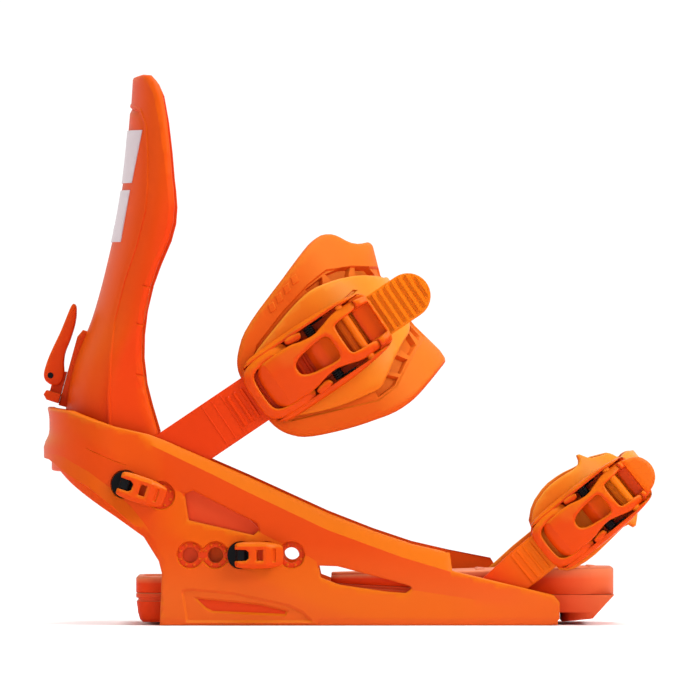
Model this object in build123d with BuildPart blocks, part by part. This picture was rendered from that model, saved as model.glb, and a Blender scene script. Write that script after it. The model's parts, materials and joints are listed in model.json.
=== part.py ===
from build123d import *
import os
from math import cos, radians, sin

# Strap snowboard binding. Millimetres. +X points to the toe, +Z up from the board, and the
# lateral side, which carries both buckles, is at -Y. The origin is the centre of the mounting
# disc at the underside of the baseplate.

# ---- chassis ----
side_y = 54.0            # outer face of each side wall
wall = 4.5               # side wall thickness
inner_y = side_y - wall
heel_centre_x = -124.0   # where the side walls start to turn round the heel
heel_reach = 35.3        # how far the heel hoop reaches behind that
floor_top = 5.0
recess = 1.0             # depth of the recesses round the adjuster holes
seat_y = side_y - recess # the face that the adjuster heads sit on

# ---- pivots (X, Z) ----
ankle_pivot = (-119.0, 69.0)    # ankle strap and highback
second_ankle_hole = (-101.5, 63.5)
toe_pivot = (61.5, 16.2)
row_z = 34.3                    # the row of holes for the footbed adjuster
row_pitch = 12.4
row_x = [-62.2 + row_pitch * i for i in range(-2, 3)]
footbed_hole = (row_x[2], row_z)
hole_r = 3.8
row_recess_r = 6.9
upper_recess_r = 7.2
toe_pin_r = 2.9

# ---- straps ----
ankle_angle = 34.0       # rise of the ankle strap above the board
toe_angle = 39.0
ladder_out = 48.7        # outer face of the ladders and connectors
ladder_in = 45.9
eye_r = 9.2              # round end of a strap at its pivot
neck_u = 24.0            # where a strap reaches its full width
rivet_r = 2.0
tooth_pitch = 3.8        # ratchet teeth on the ladders
tooth_height = 0.8
shell_out = 43.8         # outer face of the strap shells, where the buckles sit
ankle_arch_u = 120.0     # centre of the ankle strap's arch, measured from its pivot
toe_arch_u = 54.0

# ---- fits ----
gap = 0.3
sleeve_r = 3.74          # adjuster nut sleeve in the wall, strap and highback
screw_r = 3.0
screw_bore = 3.06
pin_fit = 0.06           # radial play of the small pins and rivets

# ---- mounting disc ----
disc_r = 38.0
disc_hub_r = 34.5
disc_ledge = 2.8
disc_top = 5.6
bolt_spacing = 40.0
bolt_r = 3.3
slot_length = 14.0

disc_mark_r = 9.0        # shallow round recess in the middle of the disc
disc_mark_depth = 1.2

REACH = 80.0             # longer than the object is wide, for cuts across it
TALL = 120.0             # taller than the chassis

SIDE = Plane.XZ          # sketch axes are X and Z, and it faces -Y


def side_plane(x, z, angle, y=0.0):
    """A plane across Y whose first axis rises at an angle and whose normal is -Y."""
    a = radians(angle)
    return Plane(origin=(x, y, z), x_dir=(cos(a), 0, sin(a)), z_dir=(0, -1, 0))


def top_plane(x, z, angle):
    """The plane that holds the rising axis and Y, seen from above the strap."""
    a = radians(angle)
    return Plane(origin=(x, 0, z), x_dir=(cos(a), 0, sin(a)), z_dir=(-sin(a), 0, cos(a)))


def area(plane, points, round_r=0.0):
    """A closed outline of straight runs, with its corners rounded when a radius is given."""
    with BuildSketch(plane) as sketch:
        with BuildLine():
            Polyline(*points, close=True)
        make_face()
        if round_r:
            fillet(sketch.vertices(), round_r)
    return sketch.sketch


def discs(plane, centres, r):
    """Equal circles at the given places."""
    with BuildSketch(plane) as sketch:
        with Locations(*centres):
            Circle(r)
    return sketch.sketch


def bar(plane, x0, x1, y0, y1, round_r=0.0):
    """A rectangle by its two corners."""
    points = [(x0, y0), (x1, y0), (x1, y1), (x0, y1)]
    return area(plane, points, round_r)


def heel_u(half_width, reach, front_x):
    """The chassis in plan: two straight sides closed by half an ellipse at the heel."""
    with BuildSketch(Plane.XY) as sketch:
        with Locations((heel_centre_x, 0)):
            Ellipse(reach, half_width)
        with Locations(((heel_centre_x + front_x) / 2, 0)):
            Rectangle(front_x - heel_centre_x, 2 * half_width)
    return sketch.sketch


def arch(plane, start, centre, outer, inner):
    """A strap in plan: two straight legs joined by half a ring over the boot."""
    with BuildSketch(plane) as sketch:
        with Locations((centre, 0)):
            Circle(outer)
        with Locations(((start + centre) / 2, 0)):
            Rectangle(centre - start, 2 * outer)
        with Locations((centre, 0)):
            Circle(inner, mode=Mode.SUBTRACT)
        with Locations(((start + centre) / 2 - 5, 0)):
            Rectangle(centre - start + 10, 2 * inner, mode=Mode.SUBTRACT)
    return sketch.sketch


def save(builder, label):
    """Name a finished piece and write it."""
    builder.part.label = label
    export_step(builder.part, f"parts/{label}.step")


os.makedirs("parts", exist_ok=True)

# ---------------------------------------------------------------- chassis

# The rim falls from the heel hoop to the toe; the hoop's underside rises behind the base.
rim = [(-158.2, 106.8), (-147.7, 104.9), (-107.8, 93.6), (-100.0, 90.7), (-58.8, 72.8),
       (-19.6, 54.9), (2.9, 46.1), (22.0, 39.7), (40.2, 35.5)]
front = [(67.0, 22.0), (91.1, 14.7), (94.1, 11.0), (94.1, 3.0)]
underside = [(90.2, 0.0), (-101.9, 0.0), (-100.9, 25.5), (-102.4, 31.4), (-109.8, 43.6),
             (-152.9, 73.5), (-155.2, 79.0), (-160.0, 88.0), (-156.9, 98.0)]
lateral_notch = [(40.2, 40.0), (41.4, 26.6), (67.0, 20.5), (80.0, 40.0)]
rear_window = [(-89.7, 64.2), (-85.5, 65.9), (-54.4, 50.0), (-53.2, 46.6), (-55.9, 44.1),
               (-87.7, 51.4)]
front_window = [(-24.7, 31.4), (20.1, 19.6), (21.6, 17.9), (17.6, 15.2), (-22.5, 21.1)]
pocket = [(-90.0, 17.4), (-65.7, 15.6), (-38.2, 9.8), (-31.4, 6.4), (-28.0, 2.0),
          (-82.0, 2.0)]
pocket_depth = 1.0
upper_holes = [ankle_pivot, second_ankle_hole]
row_holes = [(x, row_z) for x in row_x]

with BuildPart() as base_chassis:
    extrude(area(SIDE, rim + [(61.2, 31.4)] + front + underside), amount=REACH, both=True)
    extrude(heel_u(side_y, heel_reach, 94.1), amount=TALL, mode=Mode.INTERSECT)
    # the room for the boot, down to the floor
    extrude(heel_u(inner_y, heel_reach - wall, 120.0).moved(Location((0, 0, floor_top))),
            amount=TALL, mode=Mode.SUBTRACT)
    # the lateral wall is lower beside the toe ladder
    extrude(area(SIDE, lateral_notch), amount=REACH, mode=Mode.SUBTRACT)
    for window in (rear_window, front_window):
        extrude(area(SIDE, window, 1.2), amount=REACH, both=True, mode=Mode.SUBTRACT)
    # the opening and ledge that carry the mounting disc
    extrude(discs(Plane.XY, [(0, 0)], disc_hub_r + gap), amount=floor_top, mode=Mode.SUBTRACT)
    extrude(discs(Plane.XY.offset(disc_ledge), [(0, 0)], disc_r + gap), amount=5,
            mode=Mode.SUBTRACT)
    for side in (1, -1):
        seat = SIDE.offset(side * seat_y)
        extrude(discs(seat, row_holes, row_recess_r), amount=side * 5, mode=Mode.SUBTRACT)
        extrude(discs(seat, upper_holes, upper_recess_r), amount=side * 5, mode=Mode.SUBTRACT)
        extrude(area(SIDE.offset(side * (side_y - pocket_depth)), pocket, 1.0),
                amount=side * 5, mode=Mode.SUBTRACT)
    extrude(discs(SIDE, row_holes + upper_holes, hole_r), amount=REACH, both=True,
            mode=Mode.SUBTRACT)
save(base_chassis, "base_chassis")

# Blind pins on the inner faces of the walls carry the toe strap.
with BuildPart() as toe_strap_pins:
    for side in (1, -1):
        extrude(discs(SIDE.offset(side * inner_y), [toe_pivot], toe_pin_r),
                amount=-side * (inner_y - ladder_in + 2.2))
        extrude(discs(SIDE.offset(side * (ladder_in - gap)), [toe_pivot], 5.0),
                amount=-side * 1.9)
save(toe_strap_pins, "toe_strap_pins")

# ---------------------------------------------------------------- footbed

heel_half = 43.5
pad_split = 15.6
heel_foot = [(-113.8, pad_split), (-113.4, 6.5), (-111.7, 2.0), (-102.3, 1.2),
             (-102.3, floor_top), (-43.0, floor_top), (-43.0, pad_split)]
with BuildPart() as heel_bumper:
    extrude(area(SIDE, heel_foot), amount=heel_half, both=True)
    rear_corners = heel_bumper.edges().filter_by(Axis.Z).group_by(Axis.X)[0]
    fillet(rear_corners, 9.0)
save(heel_bumper, "heel_bumper")

with BuildPart() as heel_pad:
    extrude(area(SIDE, [(-114.0, pad_split), (-113.9, 24.0), (-112.4, 25.2), (-43.0, 23.4),
                        (-43.0, pad_split)]), amount=heel_half, both=True)
    fillet(heel_pad.edges().filter_by(Axis.Z).group_by(Axis.X)[0], 9.0)
save(heel_pad, "heel_pad")

# The toe ramp slides lengthwise on two side plates, which the lower adjusters clamp.
plate_out = 49.0
plate_in = 46.4
ramp_top = 20.4
ramp_floor = floor_top + 1.0
slide_travel = 12.0
cheek = [(-98.0, 12.0), (-98.0, 57.0), (-88.0, 63.0), (-80.0, 64.0), (-62.0, 54.5),
         (-46.0, 40.0), (-34.0, 20.4), (28.0, 16.0), (28.0, 9.5), (-90.0, 9.5)]
block = [(-36.0, ramp_floor), (-36.0, ramp_top), (-18.0, ramp_top), (92.0, 14.6),
         (121.0, 14.6), (110.4, 2.9), (95.4, 1.2), (95.4, ramp_floor)]
foam = [(-18.0, ramp_top + 0.05), (-18.0, 24.6), (92.0, 28.6), (119.5, 28.4),
        (121.0, 26.8), (121.0, 14.65), (92.0, 14.65)]
rail_gap = 41.0          # the footbed is open over the disc
rail_out = 45.8
neck_x = 30.0            # ahead of this the footbed is narrow enough for the toe strap
neck_half = 40.9
toe_round = 16.0


def footbed_plan():
    """Footbed outline: wide rails beside the disc, narrower ahead of them."""
    with BuildSketch() as sketch:
        with BuildLine():
            Polyline((-60, -rail_out), (neck_x, -rail_out), (neck_x + 8, -neck_half),
                     (200, -neck_half), (200, neck_half), (neck_x + 8, neck_half),
                     (neck_x, rail_out), (-60, rail_out), close=True)
        make_face()
        Circle(rail_gap, mode=Mode.SUBTRACT)
        with Locations((-60, 0)):
            Rectangle(120, 2 * rail_gap, mode=Mode.SUBTRACT)
    return sketch.sketch


with BuildPart() as toe_ramp:
    extrude(area(SIDE, block), amount=REACH, both=True)
    extrude(footbed_plan(), amount=60, mode=Mode.INTERSECT)
    fillet(toe_ramp.edges().filter_by(Axis.Z).group_by(Axis.X)[-1], toe_round)
    for side in (1, -1):
        extrude(area(SIDE.offset(side * plate_out), cheek),
                amount=-side * (plate_out - plate_in))
        extrude(bar(SIDE.offset(side * plate_in), -36, 26, 9.5, 16),
                amount=-side * (plate_in - rail_out + 1))
        with BuildSketch(SIDE.offset(side * (plate_out + 1))):
            with Locations((footbed_hole[0] - slide_travel / 2, row_z)):
                SlotCenterToCenter(slide_travel, 2 * hole_r)
        extrude(amount=-side * 6, mode=Mode.SUBTRACT)
save(toe_ramp, "toe_ramp")

with BuildPart() as toe_pad:
    extrude(area(SIDE, foam), amount=REACH, both=True)
    extrude(footbed_plan(), amount=60, mode=Mode.INTERSECT)
    fillet(toe_pad.edges().filter_by(Axis.Z).group_by(Axis.X)[-1], toe_round)
save(toe_pad, "toe_pad")

# ---------------------------------------------------------------- mounting disc

with BuildPart() as mounting_disc:
    extrude(discs(Plane.XY.offset(0.2), [(0, 0)], disc_hub_r), amount=disc_ledge)
    extrude(discs(Plane.XY.offset(disc_ledge + 0.1), [(0, 0)], disc_r),
            amount=disc_top - disc_ledge - 0.1)
    with BuildSketch(Plane.XY.offset(disc_top)):
        with GridLocations(bolt_spacing, bolt_spacing, 2, 2):
            SlotOverall(slot_length, 2 * bolt_r)
    extrude(amount=-disc_top, mode=Mode.SUBTRACT)
    with BuildSketch(Plane.XY.offset(disc_top)):
        Circle(disc_mark_r)
    extrude(amount=-disc_mark_depth, mode=Mode.SUBTRACT)
save(mounting_disc, "mounting_disc")

# ---------------------------------------------------------------- highback

shell_t = 3.4
liner_t = 3.6
highback_half = 45.5
# height, rear face, half width, and how deep the rounded back is
highback_levels = [(40, -149.2, 45.5, 24), (66, -149.2, 45.5, 24), (90, -149.2, 45.5, 24),
                   (108, -149.0, 45.6, 24), (128, -144.9, 46.2, 25), (150, -136.4, 47.6, 26),
                   (180, -128.2, 49.6, 26), (212, -121.8, 49.6, 25), (244, -118.2, 45.0, 24),
                   (276, -116.0, 36.0, 22)]
highback_front = [(-104.4, 268.0), (-102.4, 262.2), (-97.5, 232.8), (-94.6, 205.8),
                  (-97.5, 188.7), (-106.8, 166.6), (-110.7, 142.1), (-110.7, 129.9),
                  (-106.8, 107.8), (-102.9, 94.6), (-104.5, 80.0)]
highback_rear = [(-105.5, 64.0), (-112.0, 56.0), (-122.0, 55.0), (-131.0, 60.0),
                 (-136.0, 75.0), (-144.0, 92.0), (-149.0, 103.5), (-160.0, 108.0),
                 (-160.0, 269.0), (-116.1, 269.5), (-108.8, 270.5)]
liner_edge = [(-99.0, 238.0), (-96.0, 205.8), (-98.2, 188.7), (-107.2, 166.6),
              (-111.0, 142.1), (-111.0, 129.9), (-108.2, 111.0), (-160.0, 116.0),
              (-160.0, 238.0)]


def highback_solid(inset):
    """The calf-shaped body inside the highback's outer face, inset evenly."""
    with BuildPart() as body:
        for z, rear, half, depth in highback_levels:
            x0 = rear + inset
            y0 = half - inset
            with BuildSketch(Plane.XY.offset(z)):
                with BuildLine():
                    elbow = x0 + depth
                    Line((-70, -y0), (elbow, -y0))
                    EllipticalCenterArc((elbow, 0), depth, y0, start_angle=90, arc_size=180)
                    Line((elbow, y0), (-70, y0))
                    Line((-70, y0), (-70, -y0))
                make_face()
        loft()
    return body.part


with BuildPart() as highback_shell:
    add(highback_solid(0.0))
    add(highback_solid(shell_t), mode=Mode.SUBTRACT)
    extrude(area(SIDE, highback_front + highback_rear), amount=REACH, both=True,
            mode=Mode.INTERSECT)
    extrude(discs(SIDE, [ankle_pivot], hole_r), amount=REACH, both=True, mode=Mode.SUBTRACT)
save(highback_shell, "highback_shell")

with BuildPart() as highback_liner:
    add(highback_solid(shell_t + 0.1))
    add(highback_solid(shell_t + liner_t), mode=Mode.SUBTRACT)
    extrude(area(SIDE, liner_edge), amount=REACH, both=True, mode=Mode.INTERSECT)
save(highback_liner, "highback_liner")

# ---------------------------------------------------------------- forward lean

lean_foot = (-150.2, 109.0)
lean_rise = 74.6
lean_pin_at = (11.1, 9.6)
lean_pin_r = 1.46
lean_rail_half = 6.0
lean_knuckle_half = 5.0
lean_hook_half = 12.0
lean_lever_half = 8.0
lean_side = side_plane(lean_foot[0], lean_foot[1], lean_rise)   # second axis is rearward

with BuildPart() as lean_rail:
    extrude(area(lean_side, [(-2, -4.0), (-2, 2.0), (33, 2.0), (37, 0.0), (37, -4.0)]),
            amount=lean_rail_half, both=True)
    add(highback_solid(-0.05), mode=Mode.SUBTRACT)
save(lean_rail, "lean_rail")

with BuildPart() as lean_block:
    extrude(area(lean_side, [(-1.2, 2.3), (-0.9, 8.3), (1.2, 10.4), (3.6, 9.6),
                               (3.6, 2.3)]), amount=lean_hook_half, both=True)
    extrude(area(lean_side, [(3.0, 2.3), (3.0, 8.0), (14.0, 8.0), (15.0, 2.3)]),
            amount=lean_knuckle_half, both=True)
    extrude(discs(lean_side, [lean_pin_at], 3.0), amount=lean_knuckle_half, both=True)
    extrude(discs(lean_side, [lean_pin_at], lean_pin_r + 0.04), amount=REACH, both=True,
            mode=Mode.SUBTRACT)
save(lean_block, "lean_block")

with BuildPart() as lean_pin:
    extrude(discs(lean_side, [lean_pin_at], lean_pin_r), amount=lean_lever_half + 0.2,
            both=True)
save(lean_pin, "lean_pin")

lean_handle = [(47.6, 8.2), (47.8, 6.3), (43.2, 4.9), (37.7, 4.5), (26.1, 5.7), (20.3, 6.3),
               (14.5, 4.0), (10.6, 3.2), (7.2, 4.6), (6.9, 8.2), (8.0, 11.1), (10.0, 12.6),
               (12.9, 13.1), (19.1, 12.7), (25.6, 11.5), (38.5, 9.1)]
with BuildPart() as lean_lever:
    extrude(area(lean_side, lean_handle), amount=lean_lever_half, both=True)
    extrude(bar(lean_side, 0, 19.5, 0, 20), amount=lean_knuckle_half + gap, both=True,
            mode=Mode.SUBTRACT)
    extrude(discs(lean_side, [lean_pin_at], lean_pin_r + pin_fit), amount=REACH, both=True,
            mode=Mode.SUBTRACT)
save(lean_lever, "lean_lever")

# ---------------------------------------------------------------- ankle strap

ankle_side = side_plane(*ankle_pivot, ankle_angle)
ankle_top = top_plane(*ankle_pivot, ankle_angle)
toe_side = side_plane(*toe_pivot, toe_angle)
toe_top = top_plane(*toe_pivot, toe_angle)


def ladder(name, frame, half, tongue_half, v0, length, pin_r, buckle_at):
    """A toothed strap: round end at the pivot, straight, with a round tongue."""
    with BuildPart() as piece:
        plane = frame.offset(ladder_in)
        thickness = ladder_out - ladder_in
        with BuildSketch(plane):
            Circle(min(half, eye_r))
            with BuildLine():
                Polyline((0, -8.6), (neck_u, v0 - half), (buckle_at + 30, v0 - half),
                         (buckle_at + 44, v0 - tongue_half), (length - tongue_half,
                         v0 - tongue_half), (length - tongue_half, v0 + tongue_half),
                         (buckle_at + 44, v0 + tongue_half), (buckle_at + 30, v0 + half),
                         (neck_u, v0 + half), (0, 8.6), close=True)
            make_face()
            with Locations((length - tongue_half, v0)):
                Circle(tongue_half)
            Circle(pin_r, mode=Mode.SUBTRACT)
        extrude(amount=thickness)
        teeth = int((length - tongue_half - buckle_at + 12) / tooth_pitch)
        for i in range(teeth):
            at = buckle_at - 12 + i * tooth_pitch
            extrude(bar(frame.offset(ladder_out), at, at + tooth_pitch * 0.55,
                        v0 - tongue_half + 2.5, v0 + tongue_half - 2.5), amount=tooth_height)
    save(piece, name)


def connector(name, frame, half, v0, length, pin_r, screw_at):
    """The plain strap on the medial side, from the pivot to the shell."""
    with BuildPart() as piece:
        with BuildSketch(frame.offset(-ladder_out)):
            Circle(min(half, eye_r))
            with BuildLine():
                Polyline((0, -8.6), (neck_u, v0 - half), (length - 4, v0 - half),
                         (length, v0 - half + 4), (length, v0 + half - 4),
                         (length - 4, v0 + half), (neck_u, v0 + half), (0, 8.6), close=True)
            make_face()
            Circle(pin_r, mode=Mode.SUBTRACT)
            with Locations(*[(s, v0) for s in screw_at]):
                Circle(rivet_r + pin_fit, mode=Mode.SUBTRACT)
        extrude(amount=ladder_out - ladder_in)
    save(piece, name)


def strap_screws(name, frame, v0, screw_at, inner):
    """Cross screws that join the medial connector to the shell."""
    with BuildPart() as piece:
        places = [(s, v0) for s in screw_at]
        extrude(discs(frame.offset(-ladder_out - 1.4), places, 4.0), amount=1.35)
        extrude(discs(frame.offset(-ladder_out - 0.1), places, rivet_r),
                amount=ladder_out - inner + 0.1)
    save(piece, name)


ankle_v0 = -1.0
ankle_buckle_u = 74.9
rivet_at = (13.0, 45.0)  # along a full-size buckle
ankle_shell_t = 2.4
ankle_pad_t = 6.4
ankle_pad_outer = shell_out - ankle_shell_t - 0.1
ankle_screws = [86.0, 100.0]
ankle_length = 178.0
ladder("ankle_ladder", ankle_side, 12.5, 11.2, ankle_v0, ankle_length, hole_r,
       ankle_buckle_u)
connector("ankle_connector", ankle_side, 12.5, ankle_v0, 110.0, hole_r, ankle_screws)
strap_screws("ankle_strap_screws", ankle_side, ankle_v0, ankle_screws, 41.5)

ankle_pad_outline = [(75.6, -14.0), (84.4, -29.1), (108.0, -39.7), (130.0, -45.2),
                     (143.5, -44.7), (157.5, -38.9), (170.0, -33.0), (170.0, 28.0),
                     (158.8, 33.0), (152.3, 44.4), (145.0, 46.8), (123.3, 40.9),
                     (90.8, 30.4), (79.3, 20.4), (75.6, 12.2)]
ankle_shell_outline = [(80.6, -15.4), (97.6, -22.7), (129.2, -31.0), (150.0, -21.0),
                       (170.0, -14.0), (170.0, 14.0), (150.8, 21.2), (142.4, 24.5),
                       (127.5, 26.9), (117.3, 25.8), (101.1, 21.1), (85.0, 16.5)]


def strap_band(frame_side, frame_top, start, centre, outer, thickness, outline):
    """The part of an arched band whose side view is the outline."""
    with BuildPart() as band:
        extrude(arch(frame_top, start, centre, outer, outer - thickness), amount=REACH,
                both=True)
        extrude(area(frame_side, outline), amount=REACH, both=True, mode=Mode.INTERSECT)
    return band.part


with BuildPart() as ankle_pad:
    add(strap_band(ankle_side, ankle_top, 60.0, ankle_arch_u, ankle_pad_outer, ankle_pad_t,
                   ankle_pad_outline))
save(ankle_pad, "ankle_pad")

with BuildPart() as ankle_shell:
    add(strap_band(ankle_side, ankle_top, 60.0, ankle_arch_u, shell_out, ankle_shell_t,
                   ankle_shell_outline))
    extrude(bar(ankle_side.offset(-shell_out), 81.0, 106.0, -9.0, 7.0),
            amount=-(ladder_in - shell_out - 0.05))
    extrude(discs(ankle_side.offset(-60), [(s, ankle_v0) for s in ankle_screws],
                  rivet_r + pin_fit),
            amount=30, mode=Mode.SUBTRACT)
    ankle_rivets = [(ankle_buckle_u + s, ankle_v0) for s in rivet_at]
    extrude(discs(ankle_side, ankle_rivets, rivet_r + pin_fit), amount=REACH,
            mode=Mode.SUBTRACT)
save(ankle_shell, "ankle_shell")

# ---------------------------------------------------------------- buckles


def buckle(name, pivot, angle, start, v0, k):
    """A ratchet buckle of scale k whose base begins at start along the strap."""
    a = radians(angle)
    ux, uz = cos(a), sin(a)
    x = pivot[0] + start * ux - v0 * uz
    z = pivot[1] + start * uz + v0 * ux
    face = Plane(origin=(x, -shell_out, z), x_dir=(ux, 0, uz), z_dir=(0, -1, 0))
    cut = Plane(origin=(x, -shell_out, z), x_dir=(ux, 0, uz), z_dir=(uz, 0, -ux))
    wide = 16.2 * k + 2.4
    bed = 1.8            # base plate thickness
    roof = 6.3           # underside of the bridge over the ladder
    axle = (60.3 * k, 10.4)
    hinge = (42.0 * k, 8.6)
    inside = 16.2 * k

    def slab(profile, half):
        extrude(area(cut, profile), amount=half, both=True)

    with BuildPart() as base:
        plate = [(0, -13 * k), (5 * k, -wide), (70 * k, -wide), (73.5 * k, -14 * k),
                 (73.5 * k, 14 * k), (70 * k, wide), (5 * k, wide), (0, 13 * k)]
        extrude(area(face, plate), amount=bed)
        bridge = [(0, -13 * k), (5 * k, -wide), (26 * k, -wide), (26 * k, wide),
                  (5 * k, wide), (0, 13 * k)]
        extrude(area(face.offset(roof), bridge), amount=2.0)
        extrude(bar(face.offset(roof + 1.2), 5 * k, 14 * k, -11 * k, 11 * k), amount=3,
                mode=Mode.SUBTRACT)
        cheek_line = [(5 * k, 0), (5 * k, roof + 1.0), (30 * k, roof + 1.5), (38 * k, 12.4),
                      (66 * k, 13.6), (71 * k, 9.0), (71 * k, 0)]
        for side in (1, -1):
            cheek_cut = cut.offset(side * inside)
            extrude(area(cheek_cut, cheek_line), amount=side * 2.4)
        extrude(discs(cut, [axle], 1.92), amount=REACH, both=True, mode=Mode.SUBTRACT)
        extrude(discs(cut, [hinge], 1.22), amount=REACH, both=True, mode=Mode.SUBTRACT)
        extrude(discs(face, [(s * k, 0) for s in rivet_at], rivet_r + pin_fit), amount=bed,
                mode=Mode.SUBTRACT)
    save(base, f"{name}_buckle_base")

    with BuildPart() as rivets:
        extrude(discs(face.offset(-2.0), [(s * k, 0) for s in rivet_at], rivet_r),
                amount=3.7)
    save(rivets, f"{name}_buckle_rivets")

    with BuildPart() as axle_pin:
        extrude(discs(cut, [axle], 1.88), amount=wide + 0.2, both=True)
    save(axle_pin, f"{name}_lever_axle")

    lever_half = 12.8 * k
    plan = [(8 * k, -11 * k), (12 * k, -lever_half), (26 * k, -lever_half),
            (34 * k, -10 * k), (46 * k, -11.5 * k), (52 * k, -lever_half - 1),
            (66 * k, -lever_half - 1), (66 * k, lever_half + 1), (52 * k, lever_half + 1),
            (46 * k, 11.5 * k), (34 * k, 10 * k), (26 * k, lever_half),
            (12 * k, lever_half), (8 * k, 11 * k)]
    profile = [(8 * k, 8.9), (8 * k, 11.2), (20 * k, 14.0), (45 * k, 15.6), (56 * k, 15.4),
               (63.2 * k, 13.0), (64 * k, 10.4), (62 * k, 7.4), (57 * k, 7.4),
               (54 * k, 11.8), (30 * k, 11.8), (14 * k, 8.9)]
    with BuildPart() as lever:
        slab(profile, REACH)
        extrude(area(face, plan), amount=REACH, mode=Mode.INTERSECT)
        extrude(area(face, [(27 * k, 7.4 * k), (46.5 * k, 4.5 * k), (46.5 * k, -7.2 * k),
                            (27 * k, -6.2 * k)], 1.0), amount=REACH, mode=Mode.SUBTRACT)
        extrude(bar(face, 54.5 * k, 80 * k, -8.4 * k, 8.4 * k), amount=REACH,
                mode=Mode.SUBTRACT)
        extrude(discs(cut, [axle], 1.95), amount=REACH, both=True, mode=Mode.SUBTRACT)
    save(lever, f"{name}_lever")

    with BuildPart() as pawl:
        slab([(34.6 * k, 6.9), (36 * k, 6.2), (41 * k, 6.6), (50 * k, 8.6), (50 * k, 10.2),
              (44 * k, 11.0), (40 * k, 11.0), (37 * k, 9.4)], 9.6 * k)
        extrude(discs(cut, [hinge], 1.27), amount=REACH, both=True, mode=Mode.SUBTRACT)
    save(pawl, f"{name}_pawl")

    with BuildPart() as pawl_pin:
        extrude(discs(cut, [hinge], 1.2), amount=wide + 0.1, both=True)
    save(pawl_pin, f"{name}_pawl_pin")

    with BuildPart() as springs:
        for side in (1, -1):
            with BuildSketch(cut.offset(side * 10.2 * k)):
                with Locations(hinge):
                    Circle(2.5)
                    Circle(1.25, mode=Mode.SUBTRACT)
            extrude(amount=side * (inside - 10.2 * k - 0.2))
    save(springs, f"{name}_pawl_springs")


buckle("ankle", ankle_pivot, ankle_angle, ankle_buckle_u, ankle_v0, 1.0)

# ---------------------------------------------------------------- toe strap

toe_v0 = 0.0
toe_length = 103.0
toe_buckle_u = 30.5
toe_buckle_scale = 0.83
toe_screws = [37.0, 47.0]
toe_shell_t = 2.4
toe_liner_t = 3.0
ladder("toe_ladder", toe_side, 9.8, 9.6, toe_v0, toe_length,
       toe_pin_r + pin_fit, toe_buckle_u)
connector("toe_connector", toe_side, 9.8, toe_v0, 54.0, toe_pin_r + pin_fit, toe_screws)
strap_screws("toe_strap_screws", toe_side, toe_v0, toe_screws, 41.5)

toe_shell_outline = [(31.0, -11.0), (37.2, -16.5), (47.6, -18.0), (66.0, -16.8),
                     (77.0, -17.7), (86.2, -11.6), (105.0, -5.0), (105.0, 8.6),
                     (90.5, 10.5), (88.7, 16.0), (81.9, 19.0), (74.6, 24.0), (56.8, 23.0),
                     (43.4, 20.9), (31.0, 14.0)]
toe_liner_outline = [(34.0, -10.0), (48.0, -14.5), (76.0, -14.5), (105.0, -3.5),
                     (105.0, 6.5), (87.0, 12.0), (72.0, 19.5), (46.0, 17.5), (34.0, 11.0)]
with BuildPart() as toe_shell:
    add(strap_band(toe_side, toe_top, 20.0, toe_arch_u, shell_out, toe_shell_t,
                   toe_shell_outline))
    extrude(bar(toe_side.offset(-shell_out), 32.0, 52.0, -8.0, 8.0),
            amount=-(ladder_in - shell_out - 0.05))
    extrude(discs(toe_side.offset(-60), [(s, toe_v0) for s in toe_screws],
                  rivet_r + pin_fit),
            amount=30, mode=Mode.SUBTRACT)
    toe_rivets = [(toe_buckle_u + toe_buckle_scale * s, toe_v0) for s in rivet_at]
    extrude(discs(toe_side, toe_rivets, rivet_r + pin_fit), amount=REACH,
            mode=Mode.SUBTRACT)
save(toe_shell, "toe_shell")

with BuildPart() as toe_liner:
    add(strap_band(toe_side, toe_top, 20.0, toe_arch_u, shell_out - toe_shell_t - 0.1,
                   toe_liner_t, toe_liner_outline))
save(toe_liner, "toe_liner")

buckle("toe", toe_pivot, toe_angle, toe_buckle_u, toe_v0, toe_buckle_scale)

# ---------------------------------------------------------------- adjusters


pin_height = 5.6         # of the handle's pin above the seat
handle_pin_r = 1.0
handle_half = 6.6
lug_half = 2.3
fork_half = 2.7          # half the slot in the handle, round the lug
sleeve_flange_r = 7.0
sleeve_flange_t = 2.0


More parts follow.
